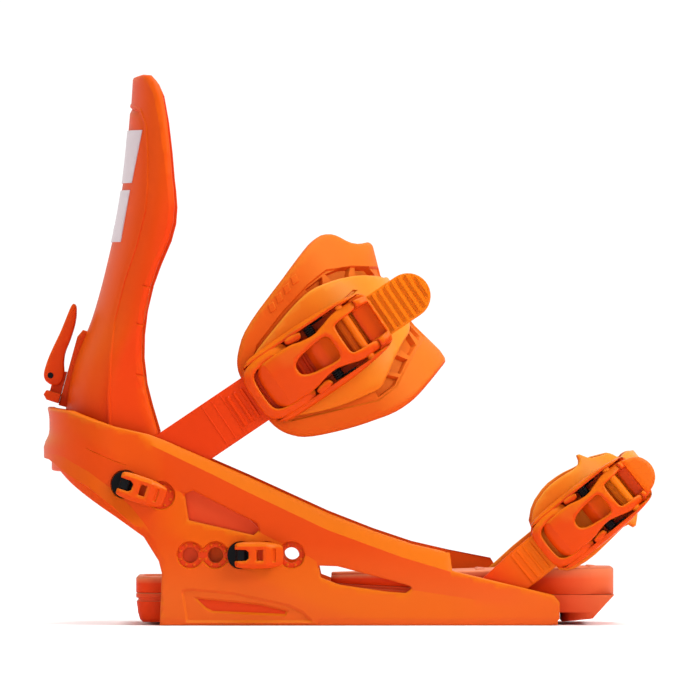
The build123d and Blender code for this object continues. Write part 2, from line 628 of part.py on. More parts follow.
def adjuster(name, side, centre, angle, nut_y):
    """A hand-turned screw with a folding handle. side is -1 for lateral, 1 for medial."""
    a = radians(angle)
    out = Plane(origin=(centre[0], side * seat_y, centre[1]), x_dir=(cos(a), 0, sin(a)),
                z_dir=(0, side, 0))
    cross = Plane(origin=(centre[0], side * seat_y, centre[1]), x_dir=(cos(a), 0, sin(a)),
                  z_dir=(side * sin(a), 0, -side * cos(a)))
    # on this plane the second axis is out from the wall
    outward = Vector(cross.y_dir).Y * side

    with BuildPart() as screw:
        extrude(discs(out.offset(gap), [(0, 0)], handle_half), amount=2.0)
        extrude(area(cross, [(-2.6, 1.5 * outward), (-2.6, 6.4 * outward),
                             (-1.4, 7.9 * outward), (1.4, 7.9 * outward),
                             (2.6, 6.4 * outward), (2.6, 1.5 * outward)]),
                amount=lug_half, both=True)
        extrude(discs(out.offset(gap), [(0, 0)], screw_r),
                amount=-(seat_y + gap - nut_y - 0.5))
        extrude(discs(cross, [(0, pin_height * outward)], handle_pin_r + 0.02), amount=REACH, both=True,
                mode=Mode.SUBTRACT)
    save(screw, f"{name}_screw")

    with BuildPart() as pin:
        extrude(discs(cross, [(0, pin_height * outward)], handle_pin_r),
                amount=handle_half - 0.4, both=True)
    save(pin, f"{name}_pin")

    with BuildPart() as handle:
        extrude(area(cross, [(0, 3.0 * outward), (-2.0, 3.6 * outward),
                             (-2.6, 5.6 * outward), (-2.0, 7.4 * outward),
                             (0, 8.2 * outward), (10, 8.0 * outward),
                             (19.5, 5.4 * outward), (20.5, 3.6 * outward),
                             (18, 3.0 * outward)]), amount=handle_half, both=True)
        extrude(area(out, [(-4, -5.4), (4, -6.6), (14, -6.6), (19.5, -4.5), (20.8, -3.2),
                           (20.8, 3.2), (19.5, 4.5), (14, 6.6), (4, 6.6), (-4, 5.4)]),
                amount=20, mode=Mode.INTERSECT)
        extrude(bar(out, -5, 3.9, -fork_half, fork_half), amount=20, mode=Mode.SUBTRACT)
        extrude(bar(out, 7.6, 12.0, -fork_half, fork_half, 0.8), amount=20,
                mode=Mode.SUBTRACT)
        extrude(discs(cross, [(0, pin_height * outward)], handle_pin_r + pin_fit), amount=REACH, both=True,
                mode=Mode.SUBTRACT)
    save(handle, f"{name}_handle")


def sleeve_nuts(name, centre, flange_y, run):
    """Sleeve nuts with a flange that runs back by the adjuster's travel."""
    with BuildPart() as nuts:
        for side in (1, -1):
            inner = SIDE.offset(side * (flange_y - sleeve_flange_t))
            with BuildSketch(inner):
                with Locations((centre[0] - run / 2, centre[1])):
                    SlotCenterToCenter(run, 2 * sleeve_flange_r) if run else Circle(sleeve_flange_r)
            extrude(amount=side * sleeve_flange_t)
            extrude(discs(inner, [centre], sleeve_r), amount=side * (seat_y - flange_y))
            extrude(discs(inner, [centre], screw_bore), amount=side * 20, mode=Mode.SUBTRACT)
    save(nuts, name)


ankle_nut_y = highback_half - shell_t - 4 * gap
footbed_nut_y = plate_in - gap
sleeve_nuts("ankle_nuts", ankle_pivot, ankle_nut_y, 0.0)
sleeve_nuts("footbed_nuts", footbed_hole, footbed_nut_y, slide_travel)
for side_name, side in (("lateral", -1), ("medial", 1)):
    adjuster(f"ankle_adjuster_{side_name}", side, ankle_pivot, -19.0, ankle_nut_y)
    adjuster(f"footbed_adjuster_{side_name}", side, footbed_hole, 0.0, footbed_nut_y)
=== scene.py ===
import json
import math
import bmesh
import bpy
import numpy as np
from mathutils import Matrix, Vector
from mathutils.geometry import delaunay_2d_cdt


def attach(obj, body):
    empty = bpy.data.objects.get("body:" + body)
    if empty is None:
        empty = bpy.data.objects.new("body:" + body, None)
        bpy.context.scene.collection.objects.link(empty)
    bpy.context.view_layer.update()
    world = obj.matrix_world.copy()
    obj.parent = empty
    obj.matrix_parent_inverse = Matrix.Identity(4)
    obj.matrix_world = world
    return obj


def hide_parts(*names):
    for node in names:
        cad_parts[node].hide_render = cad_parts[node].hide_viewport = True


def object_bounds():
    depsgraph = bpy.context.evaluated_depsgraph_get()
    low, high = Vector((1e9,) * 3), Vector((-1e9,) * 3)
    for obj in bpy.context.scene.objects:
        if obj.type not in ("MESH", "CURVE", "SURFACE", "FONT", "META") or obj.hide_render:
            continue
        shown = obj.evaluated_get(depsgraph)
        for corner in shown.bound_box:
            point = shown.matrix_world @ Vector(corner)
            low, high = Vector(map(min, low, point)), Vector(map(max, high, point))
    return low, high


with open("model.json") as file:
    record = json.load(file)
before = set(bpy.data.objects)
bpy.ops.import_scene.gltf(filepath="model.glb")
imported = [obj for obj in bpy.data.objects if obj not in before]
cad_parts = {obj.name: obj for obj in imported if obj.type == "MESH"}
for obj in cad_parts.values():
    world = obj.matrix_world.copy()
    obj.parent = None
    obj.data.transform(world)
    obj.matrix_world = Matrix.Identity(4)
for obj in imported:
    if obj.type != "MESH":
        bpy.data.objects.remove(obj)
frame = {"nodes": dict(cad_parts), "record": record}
cad_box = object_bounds()
MM = 0.001


# ---- camera, light, floor

def add_object(name, data):
    obj = bpy.data.objects.new(name, data)
    bpy.context.collection.objects.link(obj)
    return obj


def add_camera():
    """Level camera square on to the lateral side, far enough for almost no perspective."""
    low, high = cad_box
    distance = 6
    view_width = 0.343
    centre_x = (low[0] + high[0]) / 2 - 0.0006
    centre_z = 0.1348
    data = bpy.data.cameras.new("camera")
    data.sensor_width = 36
    data.lens = data.sensor_width * distance / view_width
    data.clip_end = 50
    camera = add_object("camera", data)
    camera.location = (centre_x, low[1] - distance + 0.01, centre_z)
    camera.rotation_euler = (math.pi / 2, 0, 0)
    bpy.context.scene.camera = camera


def add_area(name, place, target, size, power, colour=(1, 1, 1)):
    data = bpy.data.lights.new(name, "AREA")
    data.shape = "RECTANGLE"
    data.size, data.size_y = size
    data.energy = power
    data.color = colour
    lamp = add_object(name, data)
    lamp.location = place
    aim = Vector(target) - Vector(place)
    lamp.rotation_euler = aim.to_track_quat("-Z", "Y").to_euler()


def feed(tree, node, **inputs):
    """Set a node's inputs to constants, or join them to the outputs of other nodes."""
    for name, value in inputs.items():
        socket = node.inputs[name.replace("_", " ")]
        if isinstance(value, bpy.types.NodeSocket):
            tree.links.new(value, socket)
        else:
            socket.default_value = value


def add_node(tree, kind, **inputs):
    node = tree.nodes.new("ShaderNode" + kind)
    feed(tree, node, **inputs)
    return node


def add_studio():
    """Lit paper behind the object, a big soft light above and weaker ones round it."""
    middle = (0, 0, 0.12)
    add_area("top", (0.15, 0, 1.7), middle, (1.3, 1.1), 30)
    add_area("key", (1.3, -0.9, 1.15), middle, (0.8, 0.8), 24)
    add_area("front", (-0.9, -2.4, 0.5), middle, (1.2, 0.9), 8)
    add_area("rear", (-1.6, -0.5, 0.7), middle, (0.9, 0.9), 5.5, (1, 0.85, 0.7))
    world = bpy.data.worlds.new("world")
    world.use_nodes = True
    tree = world.node_tree
    way = add_node(tree, "TexCoord")
    parts = add_node(tree, "SeparateXYZ", Vector=way.outputs["Generated"])
    fade = add_node(tree, "MapRange", Value=parts.outputs["Y"], From_Min=0.1, From_Max=0.75,
                    To_Min=0.26, To_Max=1.08)
    feed(tree, tree.nodes["Background"], Color=(1, 1, 1, 1), Strength=fade.outputs["Result"])
    bpy.context.scene.world = world
    bpy.context.scene.view_settings.view_transform = "Standard"


def add_floor(material):
    mesh = bpy.data.meshes.new("floor")
    wide, near, far = 3, -3.2, 0.5
    corners = [(-wide, near, 0), (wide, near, 0), (wide, far, 0), (-wide, far, 0)]
    mesh.from_pydata(corners, [], [(0, 1, 2, 3)])
    mesh.materials.append(material)
    floor = add_object("floor", mesh)
    floor.location.z = cad_box[0][2] - 0.0002


# ---- materials

def new_material(name):
    material = bpy.data.materials.new(name)
    material.use_nodes = True
    return material, material.node_tree, material.node_tree.nodes["Principled BSDF"]


def moulded(name, colour, roughness, grain=900, bump=0.12, painted_top_light=None, fade=None):
    """Moulded plastic: slight colour drift, fine spark-eroded grain and uneven gloss.

    Faces turned up gain the painted_top_light amounts of green and blue: painted top light.
    fade is a second colour with the two places along the object between which it takes over.
    """
    material, tree, shader = new_material(name)
    feed(tree, shader, IOR=1.5, Specular_IOR_Level=0.08)
    place = add_node(tree, "TexCoord").outputs
    drift = add_node(tree, "TexNoise", Scale=14, Detail=3, Vector=place["Object"])

    def mixed(factor, first, second):
        mix = tree.nodes.new("ShaderNodeMix")
        mix.data_type = "RGBA"
        feed(tree, mix, Factor=factor, A=first, B=second)
        return mix.outputs["Result"]

    result = mixed(drift.outputs["Fac"], (*[c * 0.93 for c in colour], 1),
                   (*[min(1, c * 1.07) for c in colour], 1))
    if fade:
        second, start, end = fade
        way = Vector(end) - Vector(start)
        along = tree.nodes.new("ShaderNodeVectorMath")
        along.operation = "DOT_PRODUCT"
        along.inputs[1].default_value = way / way.length_squared
        tree.links.new(place["Object"], along.inputs[0])
        first = Vector(start).dot(way) / way.length_squared
        shift = add_node(tree, "MapRange", Value=along.outputs["Value"], From_Min=first,
                         From_Max=first + 1)
        result = mixed(shift.outputs["Result"], result, (*second, 1))
    # painted top light: faces turned up are mixed towards a lighter, yellower colour
    if painted_top_light:
        facing = add_node(tree, "SeparateXYZ", Vector=place["Normal"])
        lift = add_node(tree, "MapRange", Value=facing.outputs["Z"], From_Min=-0.05,
                        From_Max=0.3)
        result = mixed(lift.outputs["Result"], result,
                       (colour[0], colour[1] + painted_top_light[0], colour[2] + painted_top_light[1], 1))
    fine = add_node(tree, "TexNoise", Scale=grain, Detail=2, Vector=place["Object"])
    gloss = add_node(tree, "MapRange", Value=drift.outputs["Fac"], To_Min=roughness - 0.06,
                     To_Max=roughness + 0.06)
    relief = add_node(tree, "Bump", Strength=bump, Distance=0.0003, Height=fine.outputs["Fac"])
    feed(tree, shader, Base_Color=result, Roughness=gloss.outputs["Result"],
         Normal=relief.outputs["Normal"])
    return material


def plain(name, colour, roughness):
    material, tree, shader = new_material(name)
    feed(tree, shader, Base_Color=(*colour, 1), Roughness=roughness)
    return material


# painted_top_light paints light from above onto faces turned up; the chassis fade turns the wall
# yellower from 40 mm down to 14 mm
looks = {
    "chassis": moulded("chassis_nylon", (0.62, 0.053, 0.001), 0.42, painted_top_light=(0.075, 0.002),
                       fade=((0.64, 0.090, 0.010), (0, 0, 0.040), (0, 0, 0.014))),
    "highback": moulded("highback_nylon", (0.64, 0.038, 0.001), 0.44, painted_top_light=(0.04, 0.001)),
    "strap_shell": moulded("strap_plastic", (0.66, 0.125, 0.004), 0.38,
                           painted_top_light=(0.09, 0.014)),
    "padding": moulded("padding_foam", (0.62, 0.072, 0.003), 0.6, 500, 0.25,
                       (0.06, 0.006)),
    # the ladder fade is painted light: lighter and yellower towards the upper, lit end, darker
    # below as in shade
    "ladder": moulded("ladder_plastic", (0.60, 0.034, 0.001), 0.38,
                      fade=((0.70, 0.150, 0.002), (-0.03, 0, 0.13), (0, 0, 0.155))),
    "buckle": moulded("buckle_nylon", (0.62, 0.050, 0.001), 0.30, painted_top_light=(0.07, 0.003)),
    # footbed: painted pinkish highlight on faces turned up, and a fade of painted light making
    # the toe pad lighter from 90 mm to 120 mm as if lit from the right
    "footbed": moulded("footbed_foam", (0.64, 0.036, 0.002), 0.5, 600, 0.2,
                       (0.15, 0.08), ((0.70, 0.15, 0.05), (0.09, 0, 0.017), (0.12, 0, 0.037))),
    "hardware": moulded("black_hardware", (0.004, 0.004, 0.005), 0.24, 400, 0.05),
    "disc": moulded("disc_nylon", (0.02, 0.02, 0.022), 0.5),
}


SLOT_OF = {s["node"]: s["material_slot"] for s in frame["record"]["subparts"]}
BODY_OF = {node: body for body, nodes in frame["record"]["behaviour"]["bodies"].items()
           for node in nodes}


def paint(obj, material):
    obj.data.materials.clear()
    obj.data.materials.append(material)


def dress_cad():
    """Give every CAD node the finish of its record slot."""
    for name, slot in SLOT_OF.items():
        paint(frame["nodes"][name], looks[slot])


# ---- mesh helpers

def unit(value):
    return np.clip(value, 0, 1)


def whole(half):
    """An outline from the half on one side of the middle line."""
    return half + [(a, -b) for a, b in half[::-1]]


def resample(points, step, closed=True):
    """Points along straight edges, no further apart than the step."""
    pts = [Vector(p) for p in points]
    ends = pts[1:] + pts[:1] if closed else pts[1:]
    out = []
    for a, b in zip(pts, ends):
        count = max(1, math.ceil((b - a).length / step))
        out += [a.lerp(b, i / count) for i in range(count)]
    if not closed:
        out.append(pts[-1])
    return np.array([tuple(p) for p in out])


def soft_corners(points, times=2):
    """A closed outline with its corners cut until they read as rounded."""
    pts = np.array(points, float)
    for _ in range(times):
        ahead = np.roll(pts, -1, 0)
        near = 0.78 * pts + 0.22 * ahead
        far = 0.22 * pts + 0.78 * ahead
        pts = np.stack([near, far], 1).reshape(-1, 2)
    return [tuple(p) for p in pts]


def inside(polygon, pts):
    x, y = pts.T
    hit = np.zeros(len(pts), bool)
    for (x0, y0), (x1, y1) in zip(polygon, np.roll(polygon, -1, 0)):
        if y0 != y1:
            hit ^= ((y0 > y) != (y1 > y)) & (x < (x1 - x0) * (y - y0) / (y1 - y0) + x0)
    return hit


def within(loops, pts):
    """Whether each point is inside the first loop and outside the others, its holes."""
    held = inside(loops[0], pts)
    for loop in loops[1:]:
        held &= ~inside(loop, pts)
    return held


def distance(pts, line, closed=True):
    """Distance from each point to a run of straight edges."""
    line = np.array(line, float)
    starts = line if closed else line[:-1]
    ends = np.roll(line, -1, 0) if closed else line[1:]
    best = np.full(len(pts), 1e9)
    for a, b in zip(starts, ends):
        e = b - a
        rel = pts - a
        t = unit(rel @ e / max(e @ e, 1e-12))
        best = np.minimum(best, np.hypot(*(rel - t[:, None] * e).T))
    return best


def thinned(points):
    """Points without the ones that nearly repeat the last."""
    out = [points[0]]
    for p in points[1:]:
        if math.dist(p, out[-1]) > 0.08:
            out.append(p)
    return out


def inset(loop, amount):
    """A closed loop moved inward."""
    loop = np.array(loop, float)
    before = np.roll(loop, 1, 0)
    ahead = np.roll(loop, -1, 0)
    area = np.sum(loop[:, 0] * ahead[:, 1] - ahead[:, 0] * loop[:, 1])
    turn = 1 if area > 0 else -1
    d0 = loop - before
    d1 = ahead - loop
    d0 /= np.maximum(np.hypot(*d0.T), 1e-9)[:, None]
    d1 /= np.maximum(np.hypot(*d1.T), 1e-9)[:, None]
    n0 = np.stack([-d0[:, 1], d0[:, 0]], 1) * turn
    n1 = np.stack([-d1[:, 1], d1[:, 0]], 1) * turn
    mid = n0 + n1
    scale = amount * 2 / np.maximum(np.sum(mid * mid, 1), 0.9)
    return loop + mid * scale[:, None]


class Relief:
    """A sunk or raised area: its outline, its depth and the width of its sloping side."""

    def __init__(self, outline, depth, slope=0.5):
        self.outline = resample(outline, 1.5)
        self.depth = depth
        self.slope = slope

    def at(self, pts):
        held = inside(self.outline, pts)
        gone = distance(pts, self.outline)
        return np.where(held, self.depth * unit(gone / self.slope), 0)


class Skin:
    """A flat outline cut into triangles, with crisp creases, reliefs and a rounded edge."""

    def __init__(self, outline, holes=(), creases=(), reliefs=(), step=3, edge=0.8,
                 seam=None):
        loops = [resample(outline, step)] + [resample(h, step * 0.5) for h in holes]
        self.reliefs = reliefs
        self.edge = edge
        self.seam = seam
        coords, edges, sharp = [], [], set()

        def add(line, closed, crisp):
            first = len(coords)
            coords.extend(tuple(p) for p in line)
            count = len(line)
            for i in range(count if closed else count - 1):
                if crisp:
                    sharp.add(len(edges))
                edges.append((first + i, first + (i + 1) % count))

        for loop in loops:
            add(loop, True, False)
        guides = [resample(c, step, False) for c in creases]
        for line in guides:
            add(line, False, True)
        for relief in reliefs:
            add(relief.outline, True, True)
            add(inset(relief.outline, relief.slope), True, True)
        low, high = loops[0].min(0), loops[0].max(0)
        rows = np.arange(low[1] + step / 2, high[1], step * 0.87)
        grid = [(x + (i % 2) * step / 2, y) for i, y in enumerate(rows)
                for x in np.arange(low[0], high[0], step)]
        spare = np.array(grid)
        clear = within(loops, spare)
        for loop in loops:
            clear &= distance(spare, loop) > step * 0.5
        for line in guides:
            clear &= distance(spare, line, False) > step * 0.35
        for relief in reliefs:
            clear &= distance(spare, relief.outline) > step * 0.35
        coords.extend(tuple(p) for p in spare[clear])
        rings = []
        for n, loop in enumerate(loops):
            for share in (0.3, 1):
                ring = inset(loop, edge * share * (1 if n == 0 else -1))
                rings.append(ring[np.minimum.reduce([distance(ring, k) for k in loops])
                                  > edge * share * 0.8])
        coords.extend(tuple(p) for ring in rings for p in ring)
        made = delaunay_2d_cdt([Vector(c) for c in coords], edges, [], 0, 1e-3, True)
        self.points = np.array([tuple(p) for p in made[0]])
        faces = np.array(made[2])
        self.faces = faces[within(loops, self.points[faces].mean(1))]
        self.crisp = [e for e, origin in zip(made[1], made[4])
                      if any(o in sharp for o in origin)]
        self.loops = loops

    def on_seam(self, a, b, slack):
        """Whether an edge lies where the two halves of the piece meet."""
        return self.seam is not None and max(abs(a[0] - self.seam),
                                             abs(b[0] - self.seam)) < slack

    def drop(self):
        """How far each point falls away towards the rounded edge."""
        gone = np.full(len(self.points), 1e9)
        for loop in self.loops:
            for a, b in zip(loop, np.roll(loop, -1, 0)):
                if not self.on_seam(a, b, 1e-4):
                    gone = np.minimum(gone, distance(self.points, [a, b], False))
        r = self.edge
        t = np.clip(r - gone, 0, r)
        return r - np.sqrt(np.maximum(r * r - t * t, 0))

    def depth(self):
        total = np.zeros(len(self.points))
        for relief in self.reliefs:
            total += relief.at(self.points)
        return total


def closed(skin, front, back):
    """Points, faces and front rim of a solid between two copies of a skin's points."""
    count = len(front)
    faces = [tuple(f) for f in skin.faces] + [tuple(f[::-1] + count) for f in skin.faces]
    directed = {(f[i], f[(i + 1) % 3]) for f in skin.faces for i in range(3)}
    rim = [(i, j) for i, j in directed if (j, i) not in directed
           and not skin.on_seam(skin.points[i], skin.points[j], 1e-3)]
    faces += [(j, i, i + count, j + count) for i, j in rim]
    return np.concatenate([front, back]), faces, rim


def body_of_skin(skin, place, outer, inner, back_edge=0):
    """Points, faces and crisp edges of a plate between two depths below its surface."""
    drop = skin.drop()
    front = place(skin.points, outer(skin.points) + skin.depth() + drop)
    back = place(skin.points, inner(skin.points) - drop * back_edge)
    points, faces, rim = closed(skin, front, back)
    crisp = [tuple(e) for e in skin.crisp]
    if not back_edge:
        crisp += [(i + len(front), j + len(front)) for i, j in rim]
    return points, faces, crisp


def tube(rings, crisp=True):
    """A solid over a run of equal rings of points, closed at both ends."""
    count = len(rings[0])
    last = (len(rings) - 1) * count
    turn = [(i, (i + 1) % count) for i in range(count)]
    faces = [(a + i, a + j, a + count + j, a + count + i)
             for a in range(0, last, count) for i, j in turn]
    faces += [tuple(range(count))[::-1], tuple(range(last, last + count))]
    edges = [(a + i, a + j) for a in range(0, last + 1, count) for i, j in turn]
    return np.concatenate(rings), faces, edges if crisp else []


def mirrored(part):
    points, faces, crisp = part
    return points * (1, -1, 1), [tuple(f[::-1]) for f in faces], crisp


def join(name, parts):
    """One mesh from several sets of points, faces and crisp edges, in millimetres."""
    made = bmesh.new()
    for points, faces, crisp in parts:
        verts = [made.verts.new(tuple(p * MM)) for p in points]
        for face in faces:
            if len(set(face)) == len(face):
                try:
                    made.faces.new([verts[i] for i in face])
                except ValueError:
                    continue
        for i, j in crisp:
            edge = made.edges.get((verts[i], verts[j]))
            if edge:
                edge.smooth = False
    bmesh.ops.remove_doubles(made, verts=made.verts, dist=0.003 * MM)
    bmesh.ops.dissolve_degenerate(made, dist=0.001 * MM, edges=made.edges)
    bmesh.ops.recalc_face_normals(made, faces=made.faces)
    for face in made.faces:
        face.smooth = True
    mesh = bpy.data.meshes.new(name)
    made.to_mesh(mesh)
    made.free()
    return mesh


def piece(name, mesh, body, slot, *nodes):
    """Wrap a mesh as a piece that rides on a body and stands for CAD nodes."""
    obj = add_object(name, mesh)
    paint(obj, looks[slot])
    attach(obj, body)
    if nodes:
        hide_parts(*nodes)
    return obj


def extra(name, parts, body, slot, material):
    """A piece that stands for no CAD node, in a material of its own."""
    paint(piece(name, join(name, parts), body, slot), material)


def made_for(node, parts):
    """The visual form of one CAD node."""
    return piece(node + "_form", join(node + "_form", parts), BODY_OF[node], SLOT_OF[node],
                 node)


def foam_for(node, parts):
    made_for(node, parts)


def soften(node, width, taller=0):
    """The CAD piece with moulded edge radii, its upright part drawn up a little if asked."""
    made = bmesh.new()
    made.from_mesh(frame["nodes"][node].data)
    bmesh.ops.remove_doubles(made, verts=made.verts, dist=0.004 * MM)
    bmesh.ops.dissolve_limit(made, angle_limit=math.radians(0.5), verts=made.verts,
                             edges=made.edges)
    mesh = bpy.data.meshes.new(node + "_form")
    made.to_mesh(mesh)
    made.free()
    level_from, reach = 45, 19
    for vertex in mesh.vertices:
        vertex.co.z += taller * MM * max(0, vertex.co.z / MM - level_from) / reach
    obj = piece(node + "_form", mesh, BODY_OF[node], SLOT_OF[node], node)
    for polygon in obj.data.polygons:
        polygon.use_smooth = True
    bevel = obj.modifiers.new("round", "BEVEL")
    bevel.width = width * MM
    bevel.segments = 2
    bevel.limit_method = "ANGLE"
    bevel.angle_limit = math.radians(32)
    even = obj.modifiers.new("even", "WEIGHTED_NORMAL")
    even.keep_sharp = True


def level(value):
    """A constant depth."""
    return lambda pts: np.full(len(pts), float(value))


def ridge(stations, heights):
    """A surface given by its heights at places along the piece, as depths."""
    return lambda pts: -np.interp(pts[:, 0], stations, heights)


def above(pts, line):
    """Height of each point above a line given from left to right."""
    xs, zs = zip(*line)
    return pts[:, 1] - np.interp(pts[:, 0], xs, zs)


def circle(x, z, r, count=28):
    return [(x + r * math.cos(2 * math.pi * i / count), z + r * math.sin(2 * math.pi * i / count))
            for i in range(count)]


# ---- chassis

HALF = 54
WALL = 4.5
HEEL_X = -124
HEEL_REACH = 35.3
HEEL_RUN = 71.7
HOOP_END = -159.3
ROW_SUNK, EYE_SUNK, POCKET_SUNK, TEETH = 1.7, 1.5, (1, 1.1), -0.55


def heel_s(x):
    """Place along the unrolled wall of a point seen from the side."""
    if x >= HEEL_X:
        return x
    share = min(1, (HEEL_X - x) / HEEL_REACH)
    return HEEL_X - math.asin(share) / (math.pi / 2) * HEEL_RUN


def on_wall(side):
    def place(pts, depth):
        s, z = pts.T
        turn = unit((HEEL_X - s) / HEEL_RUN) * math.pi / 2
        x = np.where(s >= HEEL_X, s, HEEL_X - HEEL_REACH * np.sin(turn))
        y = HALF * np.cos(turn)
        nx = -np.sin(turn) / HEEL_REACH
        ny = np.cos(turn) / HALF
        size = np.hypot(nx, ny)
        return np.stack([x - depth * nx / size, side * (y - depth * ny / size), z], 1)
    return place


def unrolled(points):
    return [(heel_s(x), z) for x, z in points]


BEVEL_LINE = [
    (-115, 95.7), (-107, 88.6), (-76.4, 74), (-58.8, 65.2), (-38.2, 55.4), (-19.6, 46.6),
    (16.7, 33.3), (41.2, 26), (66, 19.6)]
MID_LINE = [
    (-98, 68), (-89.7, 64.2), (-51.5, 44.6), (-24.5, 31.2), (21.6, 17.2), (53.9, 12.3),
    (80, 9)]
HOOP_LINE = [
    (-195.7, 86.8), (-160.8, 82.1), (-141.5, 75.1), (-125, 66.2), (-116, 58),
    (-109.4, 49.8), (-102.9, 40)]
LIP_LINE = [
    (-195.7, 81.8), (-179.1, 81), (-170.4, 78.8), (-141.5, 67.8), (-125, 58),
    (-112.7, 47.4), (-106, 40)]
ROW_X = [-62.2 + 12.4 * i for i in range(-2, 3)]
ROW_Z = 34.3
PIVOT = (-119, 69)
UPPER_HOLE = (-101.5, 63.5)


def scallops(radius):
    """The outline round the five holes of the lower row."""
    xs = np.linspace(ROW_X[0] - radius, ROW_X[-1] + radius, 60)
    reach = [max(math.sqrt(max(radius ** 2 - (x - c) ** 2, 0)) for c in ROW_X) for x in xs]
    top = [(x, ROW_Z + r) for x, r in zip(xs, reach)]
    low = [(x, ROW_Z - r) for x, r in zip(xs[1:-1], reach[1:-1])]
    return top[::-1] + low


def ring_teeth(x, z):
    """Small teeth round an adjuster hole."""
    out = []
    for i in range(8):
        a = math.pi * (i + 0.5) / 4
        c, s = math.cos(a), math.sin(a)
        out.append([(x + r * c - w * s, z + r * s + w * c)
                    for r, w in ((4.5, -0.55), (5.9, -0.7), (5.9, 0.7), (4.5, 0.55))])
    return out


def wall_depth(pts):
    """The folded faces of the side wall: top bevel, arm, tower and heel hoop."""
    s, z = pts.T
    over = above(pts, BEVEL_LINE)
    bevel = 0.42 * np.clip(over, 0, None) * unit((s + 116) / 14)
    under = -above(pts, MID_LINE)
    tower_here = unit((s + 104) / 12) * unit((78 - s) / 40)
    width = np.maximum(np.interp(s, *zip(*BEVEL_LINE)) - np.interp(s, *zip(*MID_LINE)), 3)
    arm = np.where(over > 0, 0, 2 * unit(-over / width))
    tower = np.where(under > 0, np.clip(2 - 0.09 * under, 0, 2), arm)
    fold = tower * tower_here
    turn = unit((HEEL_X - s) / HEEL_RUN)
    rearward = unit((-103 - s) / 8)
    below = -above(pts, HOOP_LINE)
    strip = np.interp(below, [-16, 0, 8], [0, 1.2, 0.3]) * (1 - turn) * rearward
    lip = unit(-above(pts, LIP_LINE) / 0.9) * (1.1 + 2.7 * turn) * rearward
    waist = unit((turn - 0.3) / 0.7) ** 2 * np.interp(
        z, [80, 88.2, 91, 94, 102, 106.8], [-0.6, -0.8, 0.8, 2.4, 2.4, 1.1])
    return bevel + fold + strip + lip + waist


def chassis_outline(lateral):
    rim = [(HOOP_END, 106.8), (-147.7, 104.9), (-107.8, 93.6), (-100, 90.7), (-58.8, 72.8),
           (-19.6, 54.9), (2.9, 46.1), (22, 39.7), (40.2, 35.5)]
    nose = [(41.4, 26.6), (67, 20.5)] if lateral else [(61.2, 31.4), (67, 22)]
    front = [(91.1, 14.7), (94, 11), (94, 3), (90.2, 0)]
    back = [(-101.9, 0), (-100.9, 25.5), (-102.4, 31.4), (-109.8, 43.2), (-124, 53.4),
            (-154, 75), (HOOP_END, 75.4)]
    return unrolled(rim + nose + front + back)


REAR_WINDOW = [
    (-89.7, 64.2), (-85.5, 65.9), (-54.4, 50), (-53.2, 46.6), (-55.9, 44.1), (-87.7, 51.4)]
FRONT_WINDOW = [(-24.7, 31.4), (20.1, 19.6), (21.6, 17.9), (17.6, 15.2), (-22.5, 21.1)]
POCKET_OUT = [
    (-91.6, 17.6), (-86.2, 18.1), (-65.7, 16.2), (-38.2, 10.3), (-31.4, 6.9), (-25, 0.6),
    (-25, 1.2), (-89, 1.2)]
POCKET_IN = [
    (-86.2, 14.2), (-51.9, 10.8), (-38.2, 7.4), (-40.2, 4.4), (-76.4, 5.9), (-79.9, 7.8)]


def chassis():
    parts = []
    for side in (-1, 1):
        # the recesses and holes that the adjusters sit in
        reliefs = [Relief(scallops(6.9), ROW_SUNK, 0.5),
                   Relief(POCKET_OUT, POCKET_SUNK[0], 1.3),
                   Relief(POCKET_IN, POCKET_SUNK[1], 1.1)]
        reliefs += [Relief(tooth, TEETH, 0.25)
                    for at in [(x, ROW_Z) for x in ROW_X] + [UPPER_HOLE]
                    for tooth in ring_teeth(*at)]
        reliefs += [Relief(unrolled(circle(*at, 7.2)), EYE_SUNK, 0.5)
                    for at in (PIVOT, UPPER_HOLE)]
        seam_line = unrolled([(-138, 86.9), (-118.4, 78.7), (-118.6, 78.2), (-138, 86.3)])
        reliefs.append(Relief(seam_line, 0.35, 0.2))
        holes = [circle(x, ROW_Z, 3.8) for x in ROW_X]
        holes += [circle(*PIVOT, 3.8), circle(*UPPER_HOLE, 3.8)]
        holes += [REAR_WINDOW, soft_corners(FRONT_WINDOW, 1)]
        creases = [BEVEL_LINE[1:-1], [(-94.1, 66.2), (-89.9, 64.3)],
                   [(-53, 45.4), (-29.4, 33.8), (-25, 31.4)],
                   [(21.8, 17.2), (53.9, 12.3)], HOOP_LINE, LIP_LINE[:-1],
                   [(s, z - 1) for s, z in LIP_LINE[:-1]]]
        skin = Skin(chassis_outline(side < 0), holes, creases, reliefs, 3, 0.8,
                    seam=heel_s(HOOP_END))
        parts.append(body_of_skin(skin, on_wall(side), wall_depth, level(WALL)))
    made_for("base_chassis", parts + floor_plate())


def recess_shade_linings():
    """Darker red linings in the recesses as painted shade, with a web in the spare hole by the
    upper adjuster.
    """
    floors = []
    for side in (-1, 1):
        row = scallops(6.2), [circle(x, ROW_Z, 3.9) for x in ROW_X], 2, ROW_SUNK - 0.08
        eye = unrolled(circle(*PIVOT, 6.5)), [circle(*PIVOT, 3.9)], 2, EYE_SUNK - 0.08
        spare = unrolled(circle(*UPPER_HOLE, 6.5)), (), 2, EYE_SUNK - 0.08
        pocket = inset(POCKET_IN, 1.15), (), 3, sum(POCKET_SUNK) - 0.12
        for outline, holes, step, sunk in (row, eye, spare, pocket):
            floors.append(body_of_skin(
                Skin(outline, holes, step=step, edge=0.1), on_wall(side),
                lambda p: wall_depth(p) + sunk, lambda p: wall_depth(p) + sunk + 0.25))
    # darker red than the chassis: painted shade in the recesses
    extra("recess_shade_linings", floors, "chassis", "chassis",
          moulded("chassis_recess_painted_shade", (0.61, 0.040, 0.004), 0.42))


